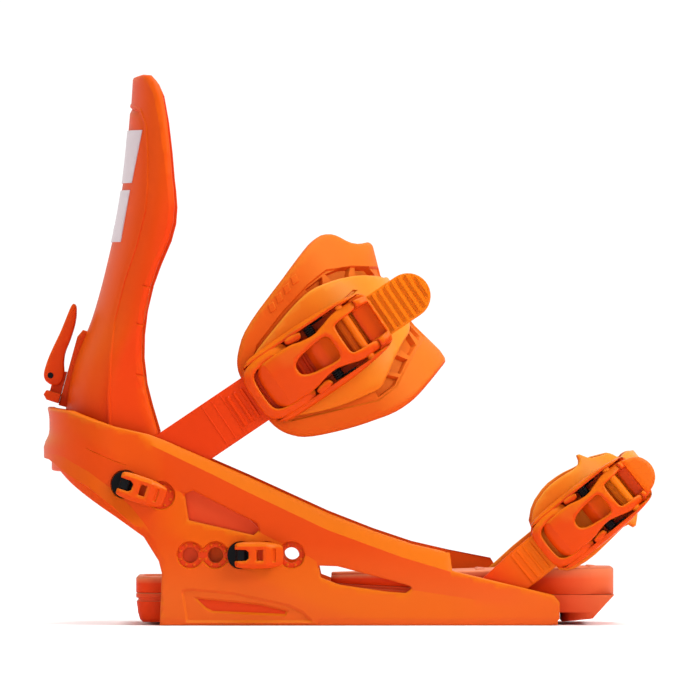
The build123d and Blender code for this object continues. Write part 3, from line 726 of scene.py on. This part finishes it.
def floor_plate():
    """The floor between the walls, with the opening and ledge for the disc."""
    outline = whole([(-101.5, -50.5), (91.5, -50.5), (93.2, -48)])
    ledge = circle(0, 0, 38.9, 72)
    parts = []
    for line, hole, step, edge, top, thick in ((outline, 38.3, 6, 0.5, 5, 4.9),
                                               (ledge, 34.8, 3, 0.3, 2.8, 2.6)):
        skin = Skin(line, [circle(0, 0, hole, 72)], (), (), step, edge)
        parts.append(body_of_skin(skin, from_above, level(-top), level(thick - top)))
    return parts


# ---- highback

BACK_RUN = 56
LEVELS = [
    (40, -149.2, 45.5, 24), (66, -149.2, 45.5, 24), (90, -149.2, 45.5, 24),
    (108, -149, 45.6, 24), (128, -144.9, 46.2, 25), (150, -136.4, 47.6, 26),
    (180, -128.2, 49.6, 26), (212, -121.8, 49.6, 25), (244, -118.2, 45, 24),
    (276, -116, 36, 22)]


def smooth_between(z, column):
    """A smooth curve through one column of the levels."""
    zs = np.array([row[0] for row in LEVELS], float)
    vs = np.array([row[column] for row in LEVELS], float)
    slopes = np.gradient(vs, zs)
    i = np.clip(np.searchsorted(zs, z) - 1, 0, len(zs) - 2)
    h = zs[i + 1] - zs[i]
    t = unit((z - zs[i]) / h)
    a = (1 + 2 * t) * (1 - t) ** 2
    b = t * (1 - t) ** 2
    c = t * t * (3 - 2 * t)
    d = t * t * (t - 1)
    return a * vs[i] + b * h * slopes[i] + c * vs[i + 1] + d * h * slopes[i + 1]


def back_s(points):
    """Side-view points moved onto the unrolled half of the highback."""
    x, z = np.array(points, float).T
    depth = smooth_between(z, 3)
    elbow = smooth_between(z, 1) + depth
    share = unit((elbow - x) / depth)
    s = np.where(x >= elbow, x - elbow, -np.arcsin(share) / (math.pi / 2) * BACK_RUN)
    return thinned(list(zip(s, z)))


def on_back(pts, depth):
    s, z = pts.T
    deep = smooth_between(z, 3)
    half = smooth_between(z, 2)
    elbow = smooth_between(z, 1) + deep
    turn = unit(-s / BACK_RUN) * math.pi / 2
    x = elbow + np.where(s > 0, s, -deep * np.sin(turn))
    y = -half * np.cos(turn)
    nx, ny = -np.sin(turn) / deep, -np.cos(turn) / half
    size = np.hypot(nx, ny)
    return np.stack([x - depth * nx / size, y - depth * ny / size, z], 1)


BACK_FRONT = [
    (-116.1, 269.5), (-112, 270.4), (-108.6, 270), (-105.6, 267), (-102.6, 261),
    (-99.8, 248), (-97.5, 232.8), (-95.2, 214), (-94.6, 205.8), (-95.2, 197.5),
    (-97.5, 189), (-102.4, 177.5), (-106.6, 166.6), (-109.2, 155), (-110.7, 142.1),
    (-110.9, 131), (-109.4, 118), (-106.8, 107.8), (-102.9, 94.6), (-104, 80),
    (-105.5, 64), (-112, 56), (-122, 55), (-131, 60), (-136, 75),
    (-144, 92), (-148.6, 103)]
PANEL = [
    (-170, 255), (-119.5, 255.8), (-112.7, 252.4), (-109.8, 245), (-109, 232.8),
    (-109, 213.2), (-109.8, 203.4), (-114.2, 186.2), (-120.1, 169.1), (-125, 149.5),
    (-126.9, 129.9), (-127.4, 112), (-127, 98), (-170, 90)]
PANEL_LIP = [
    (-170, 256.4), (-119, 257.2), (-111.7, 253.6), (-108.6, 245.4), (-107.8, 232.8),
    (-107.8, 213.2), (-108.6, 203.2), (-113, 185.9), (-118.9, 168.8), (-123.8, 149.3),
    (-125.7, 129.9), (-126.2, 112), (-125.8, 97), (-170, 89)]
STRIPES = [[(-135, 243), (-111.6, 243), (-116.6, 217), (-135, 217)],
           [(-135, 213.5), (-117.4, 213.5), (-122, 188), (-135, 188)]]
BREAKS = [(165.6, -106.8), (147, -110.2), (122, -110.2)]


def widened(points):
    """Moves points that lie behind the highback past its middle line."""
    return [(s - 12 if s <= -BACK_RUN + 1e-6 else s, z) for s, z in points]


def highback():
    rear_low, rear_top = (-170, 104.3), (-170, 269.3)
    outline = back_s(resample([rear_low, rear_top] + BACK_FRONT, 3))
    panel = widened(back_s(resample(PANEL, 3)))
    around = widened(back_s(resample(PANEL_LIP, 3)))
    reliefs = [Relief(around, -0.45, 0.4), Relief(panel, 2, 0.9)]
    for z, x in BREAKS:
        reliefs.append(Relief(back_s([(x - 3.6, z + 1.6), (x + 1.5, z + 0.2),
                                      (x + 1.5, z - 0.8), (x - 3.6, z + 0.4)]), 0.6, 0.3))
    edge_line = back_s([(x - 3, z) for x, z in BACK_FRONT[3:17]])
    skin = Skin(outline, [back_s(circle(*PIVOT, 3.8))], [edge_line], reliefs, 3.2, 1.3,
                seam=-BACK_RUN)

    def surface(pts):
        gone = distance(pts, back_s(BACK_FRONT[2:19]), False)
        held = unit(distance(pts, panel) / 2) * inside(panel, pts)
        back = unit((-pts[:, 0] - 18) / 26)
        return 0.42 * np.clip(2.8 - gone, 0, None) - back * (1.9 * held - 0.45)

    half = body_of_skin(skin, on_back, surface, level(3.4), 0.6)
    made_for("highback_shell", [half, mirrored(half)])
    printed = []
    for stripe in STRIPES:
        film = Skin(back_s(resample(stripe, 2.5)), step=2.5, edge=0.15)
        raised = 1.9 * unit((-film.points[:, 0] - 18) / 26)
        part = body_of_skin(film, on_back, lambda p: 1.35 - raised, lambda p: 1.9 - raised)
        printed += [part, mirrored(part)]
    extra("highback_stripes", printed, "highback", "highback",
          plain("pale_marking", (0.56, 0.47, 0.51), 0.4))


def highback_liner():
    """A foam liner in three segments with grooves between them."""
    front = [
        (-113, 238), (-104.4, 236), (-101.6, 226), (-98.6, 205.8), (-100.8, 190), (-108.9, 166.6),
        (-111.9, 145), (-112.2, 129.9), (-109.8, 113.5), (-116, 111.5)]
    outline = back_s(resample([(-170, 116), (-170, 238)] + front, 3))
    grooves = []
    for z in (205, 172, 141):
        groove = [(-170, z + 4), (-99, z - 6), (-99, z - 9), (-170, z + 1)]
        grooves.append(Relief(widened(back_s(resample(groove, 4))), -1.5, 1.2))
    skin = Skin(outline, (), (), grooves, 4, 2.2, seam=-BACK_RUN)
    inner = 7 - skin.drop() + skin.depth()
    points, faces, _ = closed(skin, on_back(skin.points, inner),
                              on_back(skin.points, np.full(len(skin.points), 3.5)))
    half = points, faces, []
    foam_for("highback_liner", [half, mirrored(half)])


# ---- straps

ANKLE = (-119, 69, 34)
TOE = (61.5, 16.2, 39)
ANKLE_ARCH, TOE_ARCH = 120, 54
SHELL_OUT = 43.8


def side_frame(pivot):
    """Turns places in a tilted frame (along, across, Y) into object millimetres."""
    x0, z0, angle = pivot
    c, s = math.cos(math.radians(angle)), math.sin(math.radians(angle))

    def to_object(u, v, y):
        return np.stack([x0 + u * c - v * s, y, z0 + u * s + v * c], 1)
    return to_object


def over_boot(pivot, centre, outer):
    """Places a half band: straight beside the boot, then a quarter ring over it."""
    to_object = side_frame(pivot)

    def place(pts, depth):
        s, v = pts.T
        turn = np.clip((s - centre) / outer, 0, math.pi / 2)
        r = outer - depth
        u = np.where(s <= centre, s, centre + r * np.sin(turn))
        return to_object(u, v, -r * np.cos(turn))
    return place


def unroll_band(points, centre, outer):
    """Side-view outline of a band, unrolled up to the top of the boot."""
    out = []
    for u, v in resample(points, 2.5):
        share = min(1, max(0, (u - centre) / outer))
        out.append((u if u <= centre else centre + outer * math.asin(share), v))
    return thinned(out)


def band(pivot, centre, outer, thickness, outline, reliefs, edge, step=3,
         surface=level(0), far=None):
    """A strap band made from its side-view outline on the near and far side of the boot."""
    sunk = [Relief(unroll_band(o, centre, outer), d, w) for o, d, w in reliefs]
    sides = []
    for line in (outline, far or outline):
        skin = Skin(unroll_band(line, centre, outer), (), (), sunk, step, edge,
                    seam=centre + outer * math.pi / 2)
        sides.append(body_of_skin(skin, over_boot(pivot, centre, outer), surface,
                                  lambda p: surface(p) + thickness, 0.5))
    return [sides[0], mirrored(sides[1])]


def ankle_pad():
    outline = soft_corners([
        (75.4, -14), (78.5, -23), (86, -31), (108, -39.7), (130, -45.2),
        (143.5, -44.9), (158.5, -40.2), (166, -35.6), (190, -26), (190, 26),
        (164.5, 30.5), (157, 35), (152.8, 45.9), (146.8, 48.6), (124, 41.8), (90.8, 30.4),
        (79.3, 20.4), (75.6, 12.2)], 2)
    upper = [[(126.5, 29.8), (137.6, 30.6), (134, 24.5), (126.5, 24.5)],
             [(139.2, 30.6), (147.5, 29), (151, 26.6), (146, 20.5), (140.5, 23.8)],
             [(152.6, 25.4), (157.6, 22), (159.6, 16), (153.6, 15), (150, 19.6)]]
    lower = [[(127, -34.2), (137, -33.9), (141, -31.6), (134.8, -25), (127, -26)],
             [(142.6, -30.8), (149.5, -26.9), (145.5, -20.4), (136.8, -24.6)],
             [(151, -26), (156.5, -23.4), (157.6, -14.5), (148.2, -17.2)]]
    last = [(158.4, -22.6), (160.3, -20.6), (160.6, -6), (158.6, -10)]
    wells = [(w, 2.6, 0.7) for w in upper] + [(w, 2.8, 0.7) for w in lower] + [(last, 2.4, 0.7)]
    flange = [
        (84, -20), (98, -25.2), (126.2, -36), (137.3, -35.2), (154.5, -25.6),
        (161.1, -22.8), (161.2, 19), (151.3, 26.9), (140.7, 32.3), (129.5, 31.5), (111.3, 27.3),
        (91.4, 20.6), (82, 12)]
    marks = [[(u, v), (u + 3.4, v), (u + 4.4, v + 4.2), (u + 1, v + 4.2)]
             for u, v in [(106 + 5.6 * i, 29.6 + 1.7 * i) for i in range(4)]]
    reliefs = [(flange, 0.9, 0.8)] + wells + [(m, -0.5, 0.35) for m in marks]

    def flare(pts):
        along = unit((pts[:, 0] - 148) / 30)
        v = pts[:, 1]
        return -along * (5 * unit((v - 15) / 14) + 3.7 * unit((-v - 14) / 18))

    foam_for("ankle_pad", band(ANKLE, ANKLE_ARCH, 41.3, 6.4, outline, reliefs, 2,
                               surface=flare))


def seat(pivot, u0, u1, v0):
    """The raised seat on the medial side that the connector is screwed to."""
    to_object = side_frame(pivot)
    half, outward, inward = 8, 45.85, 43
    skin = Skin(soft_corners([(u0, v0 - half), (u1, v0 - half), (u1, v0 + half),
                              (u0, v0 + half)], 1), step=6, edge=0.3)
    return body_of_skin(skin, lambda p, d: to_object(*p.T, outward - d), level(0),
                        level(outward - inward))


def ankle_shell():
    outline = soft_corners([
        (80.6, -15.4), (97.6, -23.4), (110, -27.6), (129.2, -31.2), (133, -30),
        (151.8, -18.6), (158, -16.6), (162, -10), (190, -8), (190, 10),
        (163.5, 12), (160, 16), (152.8, 21.2), (142.4, 25.5), (129.5, 28.4), (117.3, 26.6),
        (101.1, 21.8), (86, 17), (81, 8)], 2)
    slot = [(133, 14.6), (146, 16.6), (148, 15.2), (134, 12.6)]
    shell = band(ANKLE, ANKLE_ARCH, SHELL_OUT, 2.4, outline, [(slot, 1.3, 0.4)], 0.9)
    made_for("ankle_shell", shell + [seat(ANKLE, 81, 106, -1)])


def toe_shell():
    low = [(31, -11), (36, -16), (47.6, -17.6), (60, -16.6), (72.8, -15.4),
           (74.4, -19.8), (78.6, -16.2), (84.8, -10.2), (92.6, -9), (110, -6)]
    top = [(110, 9.4), (97.6, 10), (94.4, 12.2), (90.2, 11.2), (88, 16.6),
           (84, 18.4), (78.5, 20.8)]
    point = [(74.9, 27.2), (73.4, 22.8), (70, 21.6)]
    rear = [(62.6, 22.8), (52.8, 23.2), (42, 20), (34, 13)]
    holes = [[(80, -6.6), (90, -5), (90, -1.2), (80, -1.6)],
             [(80, 2), (90, 2.4), (90, 6.4), (80, 7.4)]]
    shell = band(TOE, TOE_ARCH, SHELL_OUT, 2.4, soft_corners(low + top + point + rear, 1),
                 [(h, 1.4, 0.5) for h in holes], 0.8, 2.6,
                 far=soft_corners(low + top + [(72, 20.6)] + rear, 1))
    made_for("toe_shell", shell + [seat(TOE, 32, 52, 0)])


def toe_liner():
    outline = soft_corners([
        (33, -10), (48, -14.5), (76, -14.5), (105, -4.5), (105, 7.5), (90, 11.5),
        (72, 20), (46, 18.5), (34, 11)], 2)
    foam_for("toe_liner", band(TOE, TOE_ARCH, SHELL_OUT - 2.5, 3, outline, (), 1.2))


# ---- ladders and connectors

def strap_outline(eye, half, neck, length, taper=None, tip=None):
    """A strap with a round end at its pivot and, for a ladder, a round narrower tongue."""
    arc = [(eye * math.cos(a), eye * math.sin(a))
           for a in np.linspace(math.radians(110), math.radians(250), 12)]
    if taper:
        nose = [(length - tip + tip * math.cos(a), tip * math.sin(a))
                for a in np.linspace(-math.pi / 2, math.pi / 2, 18)]
        low = [(neck, -half), (taper, -half), (taper + 14, -tip)] + nose
        return arc + low + [(taper + 14, tip), (taper, half), (neck, half)]
    end = [(length - 3, -half), (length, -half + 3), (length, half - 3), (length - 3, half)]
    return arc + [(neck, -half)] + end + [(neck, half)]


def ribs(depth, slope, first, last, pitch, width, half):
    """Bars across a strap."""
    out = []
    u = first
    while u < last:
        out.append(Relief([(u, -half), (u + width, -half), (u + width, half), (u, half)],
                          depth, slope))
        u += pitch
    return out


def tongue_bar(u0, u1, centre, radius):
    """A cross bar that keeps within a round tip."""
    def reach(u):
        return math.sqrt(max(radius ** 2 - max(u - centre, 0) ** 2, 1))
    return [(u0, -reach(u0)), (u1, -reach(u1)), (u1, reach(u1)), (u0, reach(u0))]


def strap_plate(node, pivot, side, v0, outline, hole_r, reliefs, screws=()):
    face, inner = 48.7, 45.9
    to_object = side_frame(pivot)
    holes = [circle(0, -v0, hole_r)] + [circle(u, 0, 2.1) for u in screws]
    skin = Skin(outline, holes, (), reliefs, 3, 0.5)
    made_for(node, [body_of_skin(
        skin, lambda p, d: to_object(p[:, 0], p[:, 1] + v0, side * (face - d)),
        level(0), level(face - inner), 0.6)])


def ladders():
    tongue = [Relief(tongue_bar(u, u + 2.2, 166.6, 10.3), -1.2, 0.35)
              for u in np.arange(151.6, 175, 3.85)]
    strap_plate("ankle_ladder", ANKLE, -1, -1,
                strap_outline(9, 12.4, 24, 177.8, 104.9, 11.2), 3.85,
                tongue + ribs(-0.75, 0.5, 64.5, 149, 3.8, 1.9, 8.6)
                + ribs(-0.3, 0.3, 52, 63, 5.3, 0.8, 11.3))
    strap_plate("toe_ladder", TOE, -1, 0, strap_outline(8.8, 9.7, 22, 99.4, 60.5, 9.9),
                2.98, ribs(-0.75, 0.6, 60, 93, 3.8, 2, 7.4)
                + ribs(-0.5, 0.45, 17.5, 34, 3.6, 1.4, 8.6))
    strap_plate("ankle_connector", ANKLE, 1, -1, strap_outline(9, 12.4, 24, 110), 3.85,
                ribs(-0.4, 0.4, 40, 78, 5.3, 1, 10.6), (86, 100))
    strap_plate("toe_connector", TOE, 1, 0, strap_outline(8.8, 9.7, 22, 54), 2.98,
                ribs(-0.4, 0.4, 18, 32, 4.2, 1, 7.8), (37, 47))


# ---- buckles

def coil(centre, axis, across, radius, wire, turns, length, tail):
    """A torsion spring: a round wire wound round an axis, with a straight arm."""
    axis, across = Vector(axis), Vector(across)
    other = axis.cross(across)
    path = []
    steps = int(turns * 12)
    for i in range(steps + 1):
        a = 2 * math.pi * i / 12
        path.append(Vector(centre) + axis * (length * i / steps)
                    + (across * math.cos(a) + other * math.sin(a)) * radius)
    path.append(path[-1] + across * tail)
    rings = []
    for i, p in enumerate(path):
        ahead = (path[min(i + 1, len(path) - 1)] - path[max(i - 1, 0)]).normalized()
        side = ahead.cross(axis)
        side = side.normalized() if side.length > 0.1 else across
        lift = side.cross(ahead).normalized()
        rings.append([tuple(p + (side * math.cos(a) + lift * math.sin(a)) * wire)
                      for a in np.arange(6) * math.pi / 3])
    return tube(rings, crisp=False)


def rod(start, end, radius, sides):
    """A round bar between two points."""
    a, b = Vector(start), Vector(end)
    way = (b - a).normalized()
    across = way.orthogonal().normalized()
    other = way.cross(across)
    ring = [(across * math.cos(t) + other * math.sin(t)) * radius
            for t in np.linspace(0, 2 * math.pi, sides, endpoint=False)]
    return tube([[tuple(p + r) for r in ring] for p in (a, b)])


def buckle_bed(place):
    """The bed of a buckle, with a cheek along each side."""
    bed_line = soft_corners(whole([
        (0.4, -9), (2.5, -13.5), (7, -17.6), (16, -18.6), (46, -18.6), (62, -17),
        (72.5, -15), (74.6, -10)]), 2)
    crest = ([0, 5, 24, 31, 38, 52, 60, 66, 70, 75],
             [5.5, 7.4, 7.8, 8.4, 11, 12.4, 13.3, 13.2, 11, 7.4])

    def cheek(pts):
        wall = np.interp(pts[:, 0], *crest)
        w = np.abs(pts[:, 1])
        rise = unit((w - 14.9 + 0.9 * (pts[:, 0] > 60)) / 0.7)
        fall = unit((w - 16.6) / 2.2)
        return -(1.8 + (wall - 1.8) * rise * (1 - 0.22 * fall ** 2))

    lines = [[(1, w), (73, w)] for w in (-16.6, -15.6, -14.9, 14.9, 15.6, 16.6)]
    bed = Skin(bed_line, [circle(s, 0, 2.06) for s in (13, 45)], lines, (), 2.4, 0.9)
    return body_of_skin(bed, place, cheek, level(0))


def buckle_rim(place):
    """The raised rim that the strap runs in under."""
    rim_line = soft_corners(whole([
        (0.8, -9), (3, -13), (8, -15.8), (27, -16.4), (28.5, -12), (26, -11.4)]), 1)
    mouth = soft_corners(whole([(5.6, -8), (9.5, -11.6), (23.5, -12.2)]), 2)

    def rim_height(pts):
        gone = distance(pts, mouth)
        return -(9.4 - 0.5 * np.clip(gone - 1.6, 0, 4))

    rim = Skin(rim_line, [mouth], (), (), 2, 0.7)
    return body_of_skin(rim, place, rim_height, lambda p: rim_height(p) + 2.4)


def buckle_bosses(place):
    """The bosses that hold the pin."""
    parts = []
    for side in (-1, 1):
        boss = Skin(soft_corners([(28.5, side * 12.9), (36.5, side * 11.4),
                                  (38.2, side * 15.6), (29, side * 16.2)], 2),
                    step=1.6, edge=0.9)
        parts.append(body_of_skin(boss, place, level(-10.2), level(-1.5)))
    return parts


def buckle_hood(place, toe):
    """The hood that the strap leaves under, with a rail on each side."""
    if toe:
        line = soft_corners([
            (64, -15.8), (75.5, -10.6), (80.4, -6.6), (82.4, -1.7), (82.6, 2.5), (81.4, 6.6),
            (78.5, 9.6), (74, 11.6), (64, 14.8)], 1)
        sink, top = 70.6, ridge([64, 68, 71, 76, 83], [9.8, 10.2, 11, 9.6, 7.6])
    else:
        line = soft_corners(whole([(64, -14.4), (72.8, -14.4), (74.8, -11)]), 1)
        sink, top = 73.6, ridge([64, 67, 72, 75], [9.6, 9.6, 9.6, 9.2])
    sunk = Relief([(62, -9.2), (sink, -9.2), (sink, 9.2), (62, 9.2)], 2.6, 0.6)
    hood = Skin(line, reliefs=[sunk], step=2, edge=0.5)
    parts = [body_of_skin(hood, place, top, level(-6.2))]
    for side in (-1, 1):
        rail = Skin([(67.6, side * 9.3), (sink + 0.6, side * 8.4),
                     (sink + 0.6, side * 11.8), (67.6, side * 13.4)], step=1.2, edge=0.8)
        parts.append(body_of_skin(rail, place, ridge([67, 70, sink], [11.9, 11.4, 9.6]),
                                  level(-8)))
    return parts


def buckle_lever(place):
    """A waisted plate with a tapered window, and a fork round the rod."""
    lever_line = soft_corners(whole([
        (8, -7.5), (10.5, -11.4), (14, -12.4), (29.5, -12.6), (36, -10.6), (43, -9.8),
        (50, -11.8), (56, -13.7), (66.4, -13.7), (67.4, -13.3), (67.4, -9), (54.5, -8.6),
        (53, -6.6)]), 2)
    window = soft_corners([
        (26.8, 4.4), (45.8, 6.8), (48.4, 5.2), (48.4, -5.2), (45.8, -7.4), (26.4, -4.4)], 2)

    def lever_top(pts):
        spine = np.interp(pts[:, 0], [8, 14, 22, 34, 45, 56, 61, 67.5],
                          [7.4, 11.6, 13.6, 14.9, 15.5, 15.3, 14.3, 11.8])
        crown = 0.011 * pts[:, 1] ** 2
        lip = 0.45 * np.exp(-((distance(pts, window) - 1.4) / 0.9) ** 2)
        return -(spine - crown + lip)

    lever = Skin(lever_line, [window], [[(14.6, -11.8), (14.6, 11.8)]], (), 2.2, 0.8)
    return body_of_skin(lever, place, lever_top, lambda p: lever_top(p) + 2.6, 0.5)


def buckle(name, pivot, start, v0, k):
    to_object = side_frame(pivot)

    def place(pts, depth):
        return to_object(start + k * pts[:, 0], v0 + k * pts[:, 1], -(SHELL_OUT - depth))

    def spot(u, v, y):
        """A point of the strap in object millimetres."""
        return Vector(to_object(np.array([u]), np.array([v]), np.array([-SHELL_OUT - y]))[0])

    def pin(node, u, half, y, radius, sides):
        ends = [spot(start + u * k, v0 + side * half * k, y) for side in (-1, 1)]
        made_for(f"{name}_{node}", [rod(*ends, radius, sides)])

    made_for(f"{name}_buckle_base", [
        buckle_bed(place), buckle_rim(place), *buckle_bosses(place),
        *buckle_hood(place, name == "toe")])
    made_for(f"{name}_lever", [buckle_lever(place)])
    across = spot(0, 1, 0) - spot(0, 0, 0)
    ahead = spot(1, 0, 0) - spot(0, 0, 0)
    made_for(f"{name}_pawl_springs", [
        coil(spot(start + 42 * k, v0 + side * 10.2 * k, 8.6), across * side, ahead, 2.2,
             0.55, 4, 4.6 * k, 7 * k) for side in (-1, 1)])
    pin("pawl_pin", 42, 14.4, 8.6, 1.15, 20)
    pin("lever_axle", 60.3, 15.3, 10.4, 1.9, 24)


# ---- adjusters

def handle(node, side, centre, angle):
    to_object = side_frame((*centre, angle))

    def place(pts, depth):
        return to_object(*pts.T, side * (53 - depth))

    outline = soft_corners(
        whole([(-2.8, -5.6), (0, -6.4), (5, -6.6), (14, -6.5), (19.4, -5.2), (20.8, -4)])
        + whole([(-3, 3.2), (-2.6, 2.7), (3.9, 2.7)]), 1)
    window = [(7.8, -2.6), (10.8, -2.6), (10.8, 2.6), (7.8, 2.6)]

    def top(pts):
        spine = np.interp(pts[:, 0], [-4, -1, 12.5, 18, 21], [7.2, 8.2, 8.1, 6, 5.4])
        shoulder = 0.55 * np.clip(np.abs(pts[:, 1]) - 4.4, 0, None)
        return -np.minimum(spine - shoulder, 5.6 + knuckle(pts))

    def knuckle(pts):
        behind = np.clip(-pts[:, 0], 0, 3.1)
        return np.sqrt(np.maximum(3.15 ** 2 - behind ** 2, 0.1))

    creases = [[(-3, -4.4), (14, -4.4)], [(-3, 4.4), (14, 4.4)],
               [(12.5, -5.6), (12.5, 5.6)]]
    skin = Skin(outline, [window], creases,
                [Relief([(15.6, -3.6), (17.2, -3.3), (17.2, 3.3), (15.6, 3.6)], 0.7, 0.4)],
                1.6, 0.6)
    made_for(node, [body_of_skin(skin, place, top,
                                 lambda p: -np.maximum(3, 5.6 - knuckle(p)), 0.6)])


def lean_lever():
    to_object = side_frame((-150.2, 109, 74.6))
    outline = soft_corners([
        (48.4, 8.8), (48, 6.6), (43.2, 5.2), (37.7, 4.6), (30, 5), (24, 5.8), (19, 5.2),
        (14.5, 3.6), (10.6, 3.1), (7.2, 4.6), (6.6, 8.2), (7.8, 11.4), (10, 12.9), (12.9, 13.3),
        (19.1, 13), (25.6, 12), (33, 10.6), (40, 9.8)], 2)

    def plate(line, y0, y1, edge):
        return body_of_skin(Skin(line, step=2.4, edge=edge),
                            lambda p, d: to_object(*p.T, y0 + d), level(0), level(y1 - y0), 1)

    rail = [(-2, 2), (33, 2), (37, 0.2), (37, -3.4), (-2, -3.6)]
    made_for("lean_rail", [plate(rail, -6, 6, 0.5)])
    body = [(a, b) for a, b in outline if a > 20]
    parts = [plate(outline, -8, -5.4, 0.8), plate(outline, 5.4, 8, 0.8),
             plate(body, -7.4, 7.4, 0.6)]
    made_for("lean_lever", parts)


# ---- footbed

def from_above(pts, depth):
    return np.c_[pts, -depth]


def stack(plan, levels):
    """A pad built up from its plan outline drawn in by a set amount at each height."""
    return tube([np.c_[inset(plan, amount), np.full(len(plan), z)] for z, amount in levels])


def heel_plan(radius):
    corner = [(-113.8 + radius - radius * math.cos(a), 43.4 - radius + radius * math.sin(a))
              for a in np.linspace(math.pi / 2, 0, 8)]
    half = resample([(-43.1, 43.4)] + corner, 3, False)
    return np.concatenate([half, half[::-1] * (1, -1)])


def chevron(x, half, width, front, back):
    """A raised grip bar, bent at the middle line."""
    return Relief(soft_corners([(x, -half), (x + width, -half), (x + front, 0),
                                (x + width, half), (x, half), (x + back, 0)], 1), -0.7, 0.6)


def heel_pad():
    grips = [chevron(x, 26, 3.4, 5.4, 2) for x in (-98, -88, -78, -68, -58)]
    plan = heel_plan(8.9)
    dish = Relief(inset(plan, 3.2), 1, 0.8)
    skin = Skin(plan, (), (), [dish] + grips, 5, 0.8)
    foam_for("heel_pad", [body_of_skin(skin, from_above, level(-23.4), level(-15.65), 0.3)])


def heel_bumper():
    """The foam block under the heel, with a groove round it and a tapered foot."""
    levels = [(1.25, 3.4), (2.6, 1.9), (6, 0.9), (11.4, 0.25), (11.7, 1.1), (13, 1.1),
              (13.3, 0), (15.1, 0), (15.55, 0.5)]
    foam_for("heel_bumper", [stack(heel_plan(8.9), levels)])


def toe_pad():
    nose = [(105 + 15.9 * math.cos(a), 24.9 + 15.9 * math.sin(a))
            for a in np.linspace(math.pi / 2, 0, 9)]
    half = [(-18, 45.7), (30, 45.7), (38, 40.8), (105, 40.8)] + nose[1:]
    ring = [(41.1 * math.cos(a), 41.1 * math.sin(a))
            for a in np.linspace(-math.pi / 2, math.pi / 2, 25)]
    outline = half + [(x, -y) for x, y in half[::-1]] + [(-18, -41.1)] + ring \
        + [(-18, 41.1)]
    grips = [chevron(x, 24, 3.6, 6.6, 3) for x in (52, 63, 74, 85, 96, 107)]
    stations = [-18, 92, 121]
    skin = Skin(outline, (), (), grips, 5, 0.8)
    foam_for("toe_pad", [body_of_skin(skin, from_above, ridge(stations, [24.4, 27.6, 27.8]),
                                      ridge(stations, [20.5, 14.7, 14.7]), 0.3)])


add_camera()
add_studio()
add_floor(plain("paper", (0.95, 0.95, 0.95), 0.9))
dress_cad()
chassis()
recess_shade_linings()
highback()
highback_liner()
ankle_pad()
ankle_shell()
toe_shell()
toe_liner()
ladders()
buckle("ankle", ANKLE, 74.9, -1, 1)
buckle("toe", TOE, 30.5, 0, 0.83)
for way, side in (("lateral", -1), ("medial", 1)):
    handle(f"ankle_adjuster_{way}_handle", side, PIVOT, -19)
    handle(f"footbed_adjuster_{way}_handle", side, (ROW_X[2], ROW_Z), 0)
lean_lever()
heel_pad()
heel_bumper()
toe_pad()

soften("toe_ramp", 1.2, 2.4)
soften("lean_block", 0.6)
for part in ("ankle", "toe"):
    soften(f"{part}_pawl", 0.3)
    soften(f"{part}_strap_screws", 0.3)
for part in ("ankle", "footbed"):
    for way in ("lateral", "medial"):
        soften(f"{part}_adjuster_{way}_screw", 0.3)
